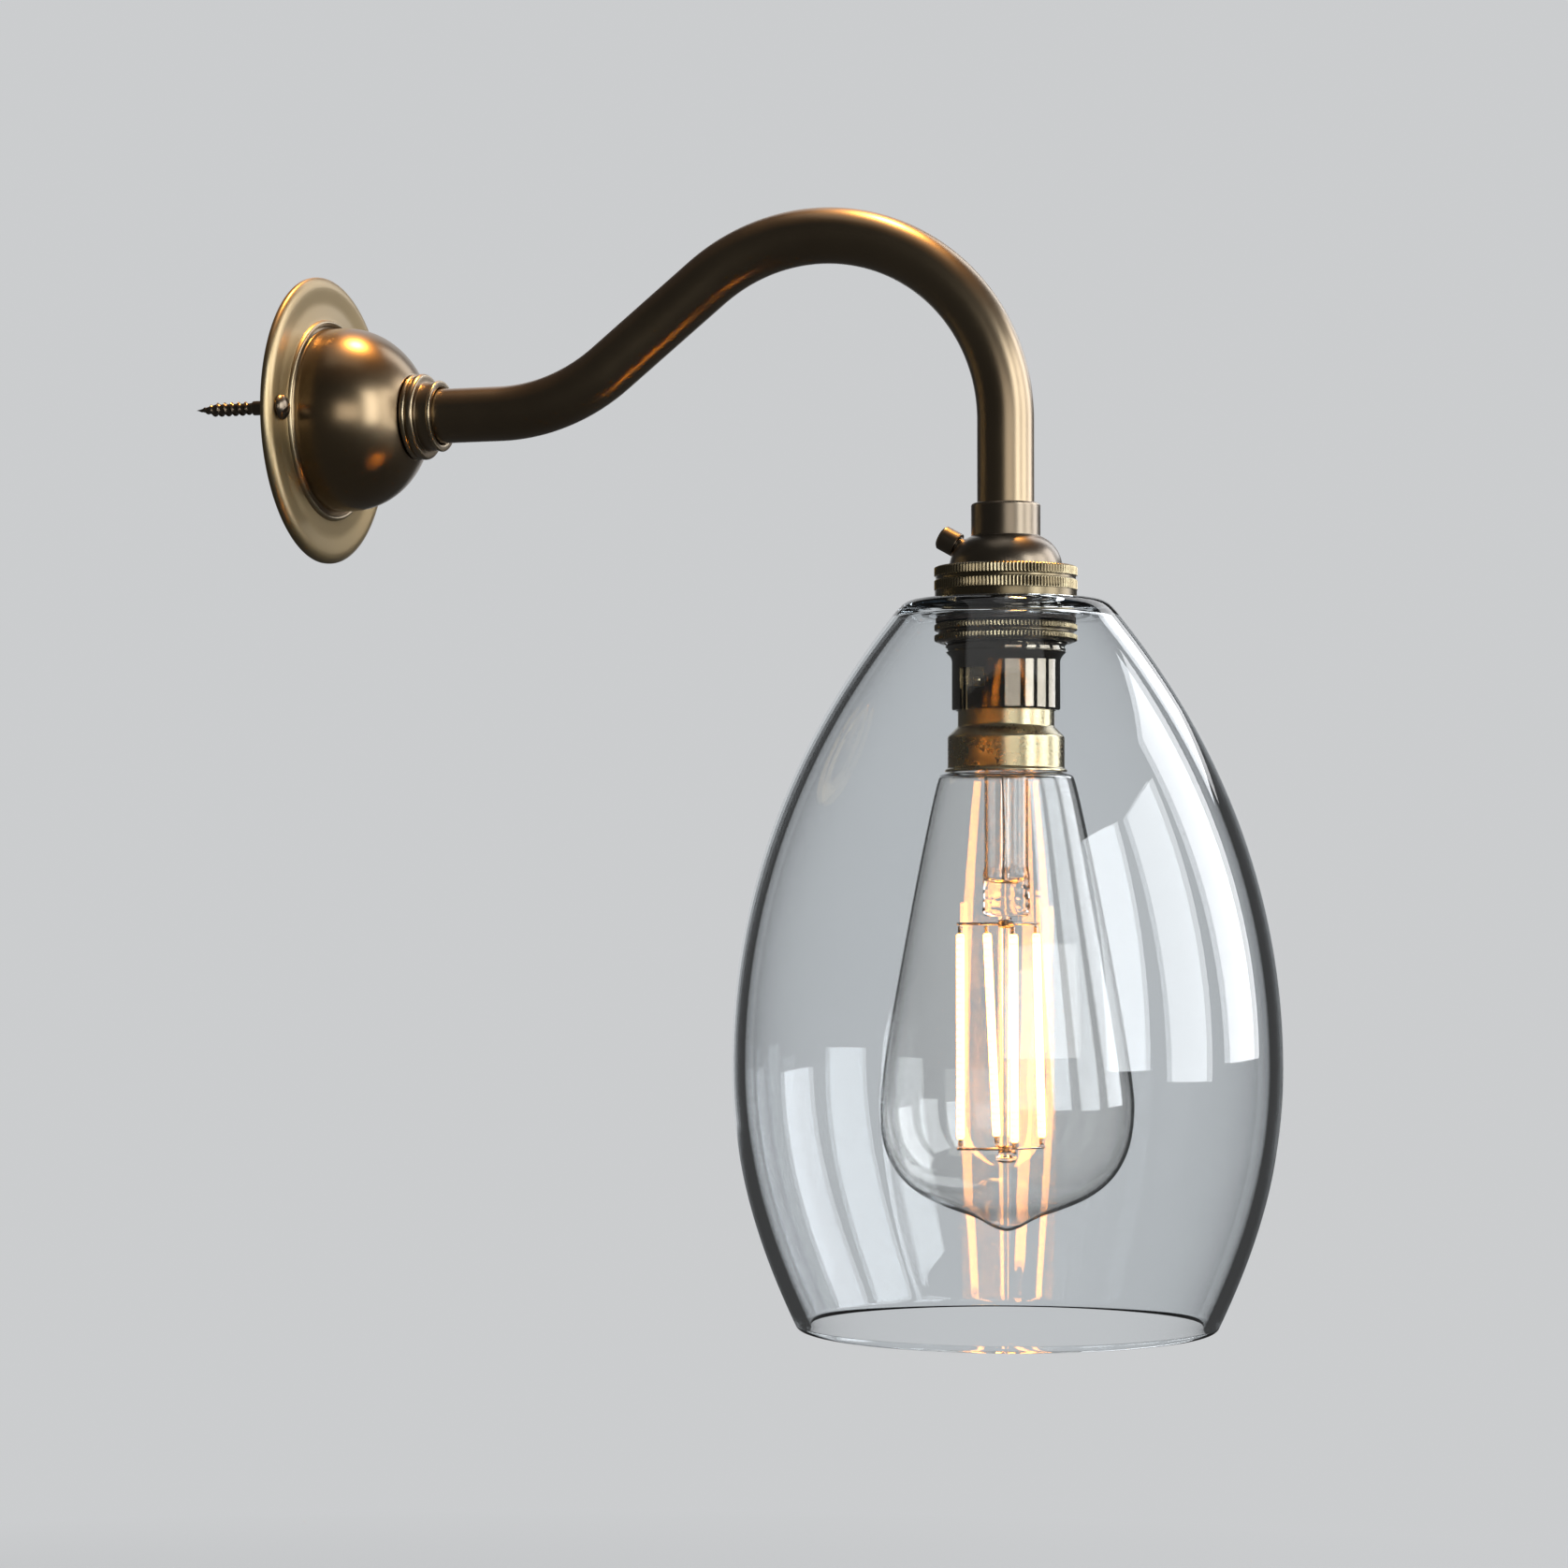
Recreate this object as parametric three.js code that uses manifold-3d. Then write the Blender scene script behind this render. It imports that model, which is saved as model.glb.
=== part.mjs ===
// A swan-neck wall light in antiqued brass with an open egg-shaped glass shade and a bayonet lamp.
// Millimetres, +Z up. The wall is the plane Y = 0, the arm reaches out along -Y and X = 0 is the plane of the bend.
// The origin is the middle of the wall plate on the wall, which is also the height of the arm's level run.

import * as THREE from "three";
import { mergeVertices } from "three/addons/utils/BufferGeometryUtils.js";
import Module from "manifold-3d";

const wasm = await Module();
wasm.setup();

// Fits shared by all the pieces
const seatGap = 0.3; // between two pieces that rest on each other
const screwClearance = 0.3; // round a screw's shank or a wire in its hole
const cutOverrun = 2; // how far a cutting shape runs past what it cuts
const mergeTolerance = 1e-4; // corners nearer than this are one corner

// Round bodies are drawn with this many sides
const shadeSides = 26;
const plateSides = 26;
const bulbSides = 18;
const turnedSides = 18;
const tubeSides = 14;
const smallSides = 8;
const knurlTeeth = 20;

// Wall plate: a spun brass shell with an open back, distances measured from the wall
const plateRadius = 34.5;
const plateSheet = 1.2;
const plateRimBevel = 2.6;
const plateFlangeHeight = 2.1;
const plateRimEdge = 0.7;
const beadRadius = 24.2;
const beadWidth = 1.3;
const beadRise = 0.9;
const domeRadius = 22;
const domeWallHeight = 6.8;
const domeReach = 24.1;
const domeTopRadius = 10.3;

// Round-head slotted wood screws that hold the plate
const wallScrewInset = 6.5; // from the plate's edge to the middle of the screw
const wallScrewOffset = plateRadius - wallScrewInset;
const wallScrewHeadRadius = 3;
const wallScrewHeadRise = 1.9;
const wallScrewShankRadius = 1.7;
const wallScrewLength = 22;
const wallScrewPoint = 3;
const screwSlotWidth = 0.8;
const screwSlotDepth = 0.9;
const wallScrewSlotAngles = [38, -24];

// Turned collar where the arm leaves the plate
const collarBeadRadius = 10.3;
const collarBeadSwell = 0.6;
const collarFirstBead = 1.3;
const collarSecondBead = 2;
const collarSleeveRadius = 8.2;
const collarSleeveLength = 3.8;
const collarLipLength = 0.9;
const collarLipSwell = 0.3;

// Swan-neck tube: level run, bend up, straight rise, bend over, drop
const tubeRadius = 6.5;
const tubeWall = 1.2;
const tubeTailFromWall = 14.5;
const armLevelEnd = 46.4;
const armRiseRadius = 45.4;
const armRiseAngle = 38.25;
const armSlopeLength = 30.7;
const armCrownRadius = 44.6;
const tubeStep = 8;

// Nut and washer that clamp the arm inside the dome
const lockWasherRadius = 9.5;
const lockWasherThickness = 1;
const armNutAcrossFlats = 17;
const armNutThickness = 5;

// Three-way terminal block in the dome
const blockWayPitch = 8;
const blockBase = 3;
const blockBaseMargin = 4;
const blockLobeRadius = 3.3;
const blockLobeAxisFromWall = 6.8;
const blockLength = 11;
const blockDrop = 4;
const blockScrewRadius = 1.4;
const blockScrewLength = 3.2;
const blockScrewProud = 1;

// Flex through the arm and its three cores
const coreRadius = 1.1;
const coreSpread = 1.6;
const flexRadius = 3.3;
const flexInset = 0.8;
const flexStep = 12;
const flexTail = 1.6;
const coreGrip = 3.6;
const coreStep = 1.8;

// Lampholder cap: neck on the tube, dome, and the flange that the knurled ring holds
const capNeckRadius = 7.9;
const capNeckTop = -25.3;
const capNeckRound = 0.4;
const capDomeRingRadius = 5;
const capDomeRadius = 7.9;
const capDomeFloor = -40.2;
const capWall = 1.2;
const capStopRadius = 5.6;
const capStopThickness = 1.3;
const capFlangeRadius = 14.6;
const capFlangeThickness = 1;
const tubeInCap = 6.2;

// Earth terminal on the wall side of the dome
const earthSeatAngle = 42;
const earthTilt = 29;
const earthHeadRadius = 3;
const earthHeadLength = 4.5;
const earthHeadStart = 0.6;
const earthHeadBevel = 0.5;
const earthShankRadius = 2.1;
const earthShankDepth = 5.4;
const earthBoreRadius = 1.9;
const earthBoreDepth = 1.5;
const earthCrossHoleDepth = 3.7;
const earthScrewBelow = 0.3;

// Knurled ring that clamps the cap to the barrel
const ringRadius = 16.3;
const knurlDepth = 0.4;
const capRingTop = -39.7;
const capRingLip = 1.2;
const capRingRow = 2.4;
const capRingGroove = 0.7;
const capRingGrooveDepth = 0.35;
const capRingBand = 2.3;
const ringBevel = 0.35;
const capRingRecessWall = 1.3;

// Threaded barrel with its bayonet skirt
const threadRadius = 13.75;
const barrelWall = 1.55;
const threadFoot = -59.9;
const flareLength = 2.2;
const skirtRadius = 12.4;
const skirtWall = 1;
const skirtFoot = -73;
const skirtLipRound = 0.35;
const blockLedge = -55;

// Bayonet slots, angles in plan from +X towards +Y
const pinLockedAngle = 163.5;
const unlockAngle = 19;
const slotCloseAngle = 8.9;
const slotTop = -63.7;
const pinHeadroom = 2;
const pinRadius = 1;
const pinReach = 13.1;
const entryWidth = 2.6;

// Round insulating block with its plungers and springs
const insulatorTop = -44.5;
const plungerOffset = 4.2;
const plungerShankRadius = 2.2;
const plungerTipRadius = 2;
const plungerTip = -60.2;
const plungerShoulder = -53.8;
const plungerHead = -52.5;
const plungerTipBevel = 0.4;
const plungerBoreTop = -46;
const springWireRadius = 0.3;
const springTurns = 4;
const terminalRadius = 8.1;
const terminalSpreadAngle = 30;
const terminalHoleDepth = 4;
const terminalScrewRadius = 1.8;
const terminalScrewRise = 1.2;
const terminalScrewDepth = 2.4;

// Glass shade: hole, rolled shoulder, egg-shaped wall and open rim
const shadeHoleRadius = 14.5;
const shadeNeckTop = -48.6;
const shadeNeckThickness = 3.2;
const shadeNeckFlat = 16.9;
const shoulderCrestRadius = 19.4;
const shoulderCrest = -47.3;
const shoulderRadius = 26.8;
const shoulderFoot = -52.2;
const shadeWall = 3;
const shadeWidestRadius = 62.4;
const shadeWidest = -153.3;
const shadeRimRadius = 47.9;
const shadeRim = -213.3;
const shadeLeaveAngle = -51.8;
const shadeRimAngle = -115.2;
const shadeLeavePull = 37.1;
const shadeUpperPull = 37.5;
const shadeLowerPull = 25;
const shadeRimPull = 15.7;

// Washers either side of the glass
const washerRadius = 16;
const upperWasherThickness = 0.5;
const lowerWasherThickness = 1;

// Knurled shade ring on the barrel's thread
const shadeRingUpperFlange = 1.7;
const shadeRingGroove = 0.6;
const shadeRingLowerFlange = 2.1;
const shadeRingGrooveDepth = 1.1;
const shadeRingBevel = 0.7;

// Lamp cap
const lampCapRadius = 11;
const lampCapSheet = 0.6;
const lampCapTop = -62.1;
const lampCapTopRound = 0.9;
const lampCapMouthRadius = 9.6;
const lampConeTop = -76.6;
const lampConeFoot = -78.9;
const lampCollarRadius = 13.3;
const lampCollarFoot = -86.2;
const lampLipRadius = 13.9;
const lampLipLength = 0.7;
const lampInsulatorTop = -61.3;
const lampInsulatorThickness = 2.8;
const lampInsulatorFlange = 1.2;
const lampInnerClearance = 0.45; // round what lies in the lamp's cap
const padRadius = 2.2;
const padThickness = 0.5;
const driverTop = -69.2;
const driverThickness = 1.2;

// Lamp glass
const bulbWall = 0.7;
const bulbNeckTop = -80.6;
const bulbNeckRadius = 12.2;
const bulbShoulder = -88.3;
const bulbShoulderRadius = 15.5;
const bulbWidest = -162;
const bulbWidestRadius = 29;
const bulbTipShoulder = -188.8;
const bulbTipShoulderRadius = 4.6;
const bulbTip = -190.5;
const bulbLeaveAngle = -68;
const bulbLeavePull = 5;
const bulbUpperPull = 9;
const bulbLowerPull = 23;
const bulbTipAngle = -146.4;
const bulbTipPull = 8.4;

// Glass stem, exhaust tube, leads, supports and filaments inside the lamp
const stemRadius = 5.05;
const stemGlass = 0.8;
const stemFlareRadius = 11.2;
const stemFlareTop = -80.9;
const stemFlareFoot = -86.6;
const stemPressTop = -110;
const stemPressRadius = 5.35;
const stemFoot = -119.5;
const stemFloor = -112;
const exhaustRadius = 1.05;
const exhaustBore = 0.5;
const exhaustTop = -72.6;
const leadOffset = 2.4;
const leadRadius = 0.35;
const arborRadius = 1;
const arborFoot = -172.8;
const buttonRadius = 2.5;
const buttonLength = 2.2;
const supportWireRadius = 0.3;
const supportHubWall = 0.8;
const supportHubHeight = 0.8;
const filamentCircle = 10.4;
const filamentRadius = 0.95;
const filamentTop = -121.8;
const filamentFoot = -171.5;
const filamentTopAngles = [105, 40.6, -156.1, -26.6];
const filamentFootAngles = [105, 27.2, -155, -36.2];

// Finishes
const finish = (color, roughness, metalness, opacity = 1) =>
  new THREE.MeshStandardMaterial({
    color,
    roughness,
    metalness,
    opacity,
    transparent: opacity < 1,
  });
const antiqueBrass = finish(0x6b5433, 0.38, 1);
const paleBrass = finish(0x9c8557, 0.4, 1);
const oliveBrass = finish(0x85744a, 0.35, 1);
const polishedBrass = finish(0x8c7a52, 0.12, 1);
const lampBrass = finish(0xb3904f, 0.3, 1);
const darkBrass = finish(0x4a3a28, 0.4, 1);
const steel = finish(0x8d8f92, 0.35, 1);
const springSteel = finish(0xa3a5a8, 0.3, 1);
const solder = finish(0xb8babd, 0.4, 1);
const smokedGlass = finish(0xc9d2d8, 0.03, 0, 0.25);
const clearGlass = finish(0xe8e2d6, 0.02, 0, 0.25);
const porcelain = finish(0xe9e4d8, 0.35, 0);
const blackGlass = finish(0x15151a, 0.2, 0);
const fibre = finish(0x2b2622, 0.8, 0);
const nylon = finish(0xd8d5cc, 0.55, 0);
const boardGreen = finish(0x3d5a3c, 0.6, 0);
const flexBlack = finish(0x1f1e1d, 0.7, 0);
const brownCore = finish(0x5b3520, 0.6, 0);
const blueCore = finish(0x2d5f9c, 0.6, 0);
const earthCore = finish(0x6f8a35, 0.6, 0);
const glowing = finish(0xffc88a, 0.5, 0);

const radians = THREE.MathUtils.degToRad;
const fullTurn = 2 * Math.PI;

// Points of an arc or a quarter of an ellipse, in the plane of a profile
function arcPoints(centreX, centreY, radiusX, radiusY, fromAngle, toAngle, steps) {
  return Array.from({ length: steps + 1 }, (_, step) => {
    const angle = radians(fromAngle + ((toAngle - fromAngle) * step) / steps);
    return [centreX + radiusX * Math.cos(angle), centreY + radiusY * Math.sin(angle)];
  });
}

// Points of a smooth curve that leaves one point and reaches another in given directions
function sweepPoints(from, fromAngle, fromPull, to, toAngle, toPull, steps) {
  const start = new THREE.Vector2(...from);
  const end = new THREE.Vector2(...to);
  const leave = new THREE.Vector2(Math.cos(radians(fromAngle)), Math.sin(radians(fromAngle)));
  const reach = new THREE.Vector2(Math.cos(radians(toAngle)), Math.sin(radians(toAngle)));
  const curve = new THREE.CubicBezierCurve(
    start,
    start.clone().addScaledVector(leave, fromPull),
    end.clone().addScaledVector(reach, -toPull),
    end,
  );
  return curve.getPoints(steps).map((point) => [point.x, point.y]);
}

// The same outline moved inwards by a wall's thickness, square to the outline
function innerOutline(outline, wall) {
  return outline.map(([x, y], index) => {
    const [beforeX, beforeY] = outline[Math.max(index - 1, 0)];
    const [afterX, afterY] = outline[Math.min(index + 1, outline.length - 1)];
    const length = Math.hypot(afterX - beforeX, afterY - beforeY);
    return [
      x + (wall * (afterY - beforeY)) / length,
      y - (wall * (afterX - beforeX)) / length,
    ];
  });
}

// A profile of radius and height turned about the Z axis; its outer side runs upwards
function turned(profile, sides) {
  const onAxis = profile[0][0] === 0;
  const outline = onAxis ? profile : [...profile, profile[0]];
  const points = outline.map(([radius, height]) => new THREE.Vector2(radius, height));
  return new THREE.LatheGeometry(points, sides).rotateX(Math.PI / 2);
}

// A turned ring whose marked profile points are milled with straight teeth
function knurledRing(profile, teeth, depth) {
  const sides = 2 * teeth;
  const count = profile.length;
  const positions = [];
  const index = [];
  for (let side = 0; side < sides; side++) {
    const angle = (side / sides) * fullTurn;
    const next = (side + 1) % sides;
    profile.forEach(([radius, height, toothed], row) => {
      const reach = toothed && side % 2 ? radius - depth : radius;
      const above = (row + 1) % count;
      positions.push(reach * Math.cos(angle), reach * Math.sin(angle), height);
      index.push(side * count + row, next * count + row, next * count + above);
      index.push(side * count + row, next * count + above, side * count + above);
    });
  }
  return new THREE.BufferGeometry()
    .setAttribute("position", new THREE.Float32BufferAttribute(positions, 3))
    .setIndex(index);
}

function discShape(radius, sides) {
  const points = arcPoints(0, 0, radius, radius, 0, 360, sides).slice(0, sides);
  return new THREE.Shape(points.map(([x, y]) => new THREE.Vector2(x, y)));
}

// A round or hollow section carried along a path
function tubeAlong(path, radius, bore, sides, step) {
  const section = discShape(radius, sides);
  if (bore > 0) section.holes.push(discShape(bore, sides / 2));
  const steps = Math.max(2, Math.round(path.getLength() / step));
  return new THREE.ExtrudeGeometry(section, {
    steps,
    extrudePath: path,
    bevelEnabled: false,
  });
}

// A straight round bar between two points
function barBetween(from, to, radius, sides) {
  const path = new THREE.LineCurve3(from, to);
  return tubeAlong(path, radius, 0, sides, path.getLength());
}

function upright(shape, floor, ceiling) {
  return new THREE.ExtrudeGeometry(shape, {
    depth: ceiling - floor,
    bevelEnabled: false,
  }).translate(0, 0, floor);
}

// Cutting and joining of closed shapes
function asSolid(geometry) {
  const bare = geometry.clone();
  bare.deleteAttribute("normal");
  bare.deleteAttribute("uv");
  const merged = mergeVertices(bare, mergeTolerance);
  return new wasm.Manifold(
    new wasm.Mesh({
      numProp: 3,
      vertProperties: new Float32Array(merged.attributes.position.array),
      triVerts: new Uint32Array(merged.index.array),
    }),
  );
}

function asGeometry(solid) {
  const mesh = solid.getMesh();
  return new THREE.BufferGeometry()
    .setAttribute("position", new THREE.BufferAttribute(mesh.vertProperties, 3))
    .setIndex(new THREE.BufferAttribute(mesh.triVerts, 1));
}

const cut = (body, ...tools) =>
  asGeometry(tools.reduce((solid, tool) => solid.subtract(asSolid(tool)), asSolid(body)));
const joined = (first, ...others) =>
  asGeometry(others.reduce((solid, other) => solid.add(asSolid(other)), asSolid(first)));

// A point in plan at an angle and a radius, at a height
const polar = (angle, radius, height) =>
  new THREE.Vector3(
    radius * Math.cos(radians(angle)),
    radius * Math.sin(radians(angle)),
    height,
  );

function piece(group, name, geometry, material) {
  geometry.computeVertexNormals();
  const mesh = new THREE.Mesh(geometry, material);
  mesh.name = name;
  group.add(mesh);
  return mesh;
}

// Places that several pieces share
const boreRadius = tubeRadius + seatGap;
const collarBase = domeReach + seatGap;
const domeInnerTop = domeReach - plateSheet;
const domeDepthRadius =
  (domeReach - domeWallHeight) / Math.sqrt(1 - (domeTopRadius / domeRadius) ** 2);
const washerTop = domeInnerTop - seatGap;
const nutTop = washerTop - lockWasherThickness - seatGap;
const tubeEnd = capNeckTop - tubeInCap;
const capStopTop = tubeEnd - seatGap;
const capInnerRadius = capDomeRingRadius + capDomeRadius - capWall;
const capFlangeTop = capRingTop - capRingLip - seatGap;
const capFlangeFoot = capFlangeTop - capFlangeThickness;
const barrelTop = capFlangeFoot - seatGap;
const ringBore = threadRadius + seatGap;
const capRingFoot =
  capRingTop - 2 * capRingRow - capRingGroove - capRingBand;
const upperWasherTop = capRingFoot - seatGap;
const lowerWasherTop = shadeNeckTop - shadeNeckThickness - seatGap;
const shadeRingTop = lowerWasherTop - lowerWasherThickness - seatGap;
const skirtBore = skirtRadius - skirtWall;
const barrelBore = threadRadius - barrelWall;
const pinHeight = slotTop - pinHeadroom - pinRadius;
const slotFoot = pinHeight - pinRadius - seatGap;
const contactAngle = pinLockedAngle - 90;
const insulatorFoot = blockLedge + seatGap;

// The arm's centre line in the Y-Z plane, walked as straight runs and round bends
class PlaneArc extends THREE.Curve {
  constructor(centreY, centreZ, radius, fromAngle, toAngle) {
    super();
    Object.assign(this, { centreY, centreZ, radius, fromAngle, toAngle });
  }
  getPoint(share, target = new THREE.Vector3()) {
    const angle = radians(THREE.MathUtils.lerp(this.fromAngle, this.toAngle, share));
    return target.set(
      0,
      this.centreY + this.radius * Math.cos(angle),
      this.centreZ + this.radius * Math.sin(angle),
    );
  }
}

const riseCentre = [-armLevelEnd, armRiseRadius];
const riseEnd = [
  -armLevelEnd - armRiseRadius * Math.sin(radians(armRiseAngle)),
  armRiseRadius * (1 - Math.cos(radians(armRiseAngle))),
];
const slopeEnd = [
  riseEnd[0] - armSlopeLength * Math.cos(radians(armRiseAngle)),
  riseEnd[1] + armSlopeLength * Math.sin(radians(armRiseAngle)),
];
const crownCentre = [
  slopeEnd[0] - armCrownRadius * Math.sin(radians(armRiseAngle)),
  slopeEnd[1] - armCrownRadius * Math.cos(radians(armRiseAngle)),
];
const lampReach = armCrownRadius - crownCentre[0];

function armPath(fromWall, footHeight) {
  const at = (y, z) => new THREE.Vector3(0, y, z);
  const path = new THREE.CurvePath();
  path.add(new THREE.LineCurve3(at(-fromWall, 0), at(-armLevelEnd, 0)));
  path.add(new PlaneArc(...riseCentre, armRiseRadius, 270, 270 - armRiseAngle));
  path.add(new THREE.LineCurve3(at(...riseEnd), at(...slopeEnd)));
  path.add(new PlaneArc(...crownCentre, armCrownRadius, 90 - armRiseAngle, 180));
  path.add(new THREE.LineCurve3(at(-lampReach, crownCentre[1]), at(-lampReach, footHeight)));
  return path;
}

// Wall plate, its screws, the collar and what is inside the dome.
// In this group +Z runs out of the wall, so heights are distances from the wall.
function makeWallPlate() {
  const outerDome = arcPoints(
    0,
    domeWallHeight,
    domeRadius,
    domeDepthRadius,
    0,
    (Math.acos(domeTopRadius / domeRadius) * 180) / Math.PI,
    6,
  );
  const innerDome = arcPoints(
    0,
    domeWallHeight,
    domeRadius - plateSheet,
    domeDepthRadius - plateSheet,
    0,
    (Math.asin((domeInnerTop - domeWallHeight) / (domeDepthRadius - plateSheet)) * 180) / Math.PI,
    4,
  );
  const beadMiddle = beadRadius - beadWidth / 2;
  const profile = [
    [plateRadius, 0],
    [plateRadius, plateRimEdge],
    [plateRadius - plateRimBevel / 3, plateFlangeHeight - plateRimEdge / 2],
    [plateRadius - plateRimBevel, plateFlangeHeight],
    ...arcPoints(beadMiddle, plateFlangeHeight, beadWidth / 2, beadRise, 0, 180, 3),
    [domeRadius, plateFlangeHeight + plateRimEdge],
    ...outerDome,
    [boreRadius, domeReach],
    [boreRadius, domeInnerTop],
    ...innerDome.reverse(),
    [domeRadius - plateSheet, plateFlangeHeight],
    [beadMiddle, plateFlangeHeight - plateSheet],
    [plateRadius - plateRimBevel - plateSheet, plateFlangeHeight - plateSheet],
    [plateRadius - plateSheet, 0],
  ];
  const holes = [-1, 1].map((side) =>
    upright(
      discShape(wallScrewShankRadius + screwClearance, smallSides),
      -cutOverrun,
      plateFlangeHeight + cutOverrun,
    ).translate(side * wallScrewOffset, 0, 0),
  );
  return cut(turned(profile, plateSides), ...holes);
}

function makeWallScrew(slotAngle) {
  const seat = plateFlangeHeight + seatGap;
  const crown = arcPoints(0, seat, wallScrewHeadRadius, wallScrewHeadRise, 0, 90, 4).slice(0, -1);
  const body = turned(
    [
      [0, seat - wallScrewLength],
      [wallScrewShankRadius, seat - wallScrewLength + wallScrewPoint],
      [wallScrewShankRadius, seat],
      ...crown,
      [0, seat + wallScrewHeadRise],
    ],
    smallSides,
  );
  const slot = new THREE.BoxGeometry(
    2 * wallScrewHeadRadius + cutOverrun,
    screwSlotWidth,
    2 * screwSlotDepth,
  )
    .rotateZ(radians(slotAngle))
    .translate(0, 0, seat + wallScrewHeadRise);
  return cut(body, slot);
}

function makeCollar() {
  const firstTop = collarBase + collarFirstBead;
  const secondTop = firstTop + collarSecondBead;
  const sleeveTop = secondTop + collarSleeveLength;
  const neck = collarBeadRadius - collarBeadSwell;
  return turned(
    [
      [boreRadius, collarBase],
      [neck, collarBase],
      ...arcPoints(neck, (collarBase + firstTop) / 2, collarBeadSwell, collarFirstBead / 2, -60, 90, 3),
      ...arcPoints(neck, (firstTop + secondTop) / 2, collarBeadSwell, collarSecondBead / 2, -60, 90, 3),
      [collarSleeveRadius, secondTop],
      [collarSleeveRadius, sleeveTop - collarLipLength],
      [collarSleeveRadius + collarLipSwell, sleeveTop - collarLipLength / 2],
      [collarSleeveRadius, sleeveTop],
      [boreRadius, sleeveTop],
    ],
    turnedSides,
  );
}

function makeLockWasher() {
  const ring = discShape(lockWasherRadius, tubeSides);
  ring.holes.push(discShape(boreRadius, tubeSides));
  return upright(ring, washerTop - lockWasherThickness, washerTop);
}

function makeArmNut() {
  const hexagon = discShape(armNutAcrossFlats / 2 / Math.cos(Math.PI / 6), 6);
  hexagon.holes.push(discShape(boreRadius, tubeSides));
  return upright(hexagon, nutTop - armNutThickness, nutTop);
}

const wayPlaces = [-blockWayPitch, 0, blockWayPitch];
const blockFront = blockLobeAxisFromWall + blockLobeRadius;
const blockScrewFoot = blockLobeAxisFromWall - coreRadius - screwClearance;

// One outline of three lobes on a base, pulled along the wires, with the screw holes cut in
function makeTerminalBlock() {
  const halfWidth = blockWayPitch + blockBaseMargin;
  const outline = [
    [halfWidth, blockFront - blockBase],
    [halfWidth, blockFront],
    [-halfWidth, blockFront],
    [-halfWidth, blockFront - blockBase],
  ];
  for (const place of wayPlaces) {
    outline.push(
      ...arcPoints(place, blockLobeAxisFromWall, blockLobeRadius, blockLobeRadius, 180, 360, 4),
    );
  }
  const section = new THREE.Shape(outline.map(([x, y]) => new THREE.Vector2(x, y)));
  const body = new THREE.ExtrudeGeometry(section, { depth: blockLength, bevelEnabled: false })
    .rotateX(Math.PI / 2)
    .translate(0, -blockDrop, 0);
  const wireHoles = wayPlaces.map((place) =>
    barBetween(
      new THREE.Vector3(place, cutOverrun - blockDrop, blockLobeAxisFromWall),
      new THREE.Vector3(place, -blockDrop - blockLength - cutOverrun, blockLobeAxisFromWall),
      coreRadius + screwClearance,
      smallSides,
    ),
  );
  const screwHoles = wayPlaces.map((place) =>
    upright(
      discShape(blockScrewRadius + screwClearance, smallSides),
      -cutOverrun,
      blockLobeAxisFromWall,
    ).translate(place, -blockDrop - coreGrip / 2, 0),
  );
  return cut(body, ...wireHoles, ...screwHoles);
}

function makeBlockScrew() {
  const head = blockScrewFoot - blockScrewLength - blockScrewProud;
  const body = upright(discShape(blockScrewRadius, smallSides), head, blockScrewFoot - seatGap);
  const slot = new THREE.BoxGeometry(
    2 * blockScrewRadius + cutOverrun,
    screwSlotWidth,
    2 * screwSlotDepth,
  ).translate(0, 0, head);
  return cut(body, slot);
}

const coreAngles = [150, 30, 270];
const coreStartFromWall = tubeTailFromWall + flexInset - seatGap;

// A core that leaves the flex towards the wall and turns down into its way of the block
function makeWallCore(coreAngle, place) {
  const from = polar(coreAngle, coreSpread, coreStartFromWall);
  const drop = coreStartFromWall - blockLobeAxisFromWall;
  const mouth = new THREE.Vector3(place, -blockDrop + seatGap, blockLobeAxisFromWall);
  const path = new THREE.CurvePath();
  path.add(
    new THREE.CubicBezierCurve3(
      from,
      from.clone().add(new THREE.Vector3(0, 0, -drop)),
      mouth.clone().add(new THREE.Vector3(0, drop / 2, 0)),
      mouth,
    ),
  );
  path.add(
    new THREE.LineCurve3(mouth, mouth.clone().add(new THREE.Vector3(0, -coreGrip, 0))),
  );
  return tubeAlong(path, coreRadius, 0, 6, coreStep);
}

// Lampholder, in a group whose origin is on the lamp's axis at the height of the arm's level run
function capDomePoints(radius, stopRadius, steps) {
  const reachAngle = (Math.acos((stopRadius - capDomeRingRadius) / radius) * 180) / Math.PI;
  return arcPoints(capDomeRingRadius, capDomeFloor, radius, radius, 0, reachAngle, steps);
}

const earthAxis = new THREE.Vector3(0, Math.cos(radians(earthTilt)), Math.sin(radians(earthTilt)));
const earthSeat = new THREE.Vector3(
  0,
  capDomeRingRadius + capDomeRadius * Math.cos(radians(earthSeatAngle)),
  capDomeFloor + capDomeRadius * Math.sin(radians(earthSeatAngle)),
);
const alongEarth = (distance) => earthSeat.clone().addScaledVector(earthAxis, distance);

// Stands a piece turned about Z on the earth terminal's slanted axis
function onEarthAxis(geometry) {
  return geometry
    .rotateX(radians(earthTilt - 90))
    .translate(...earthSeat.toArray());
}

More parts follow.
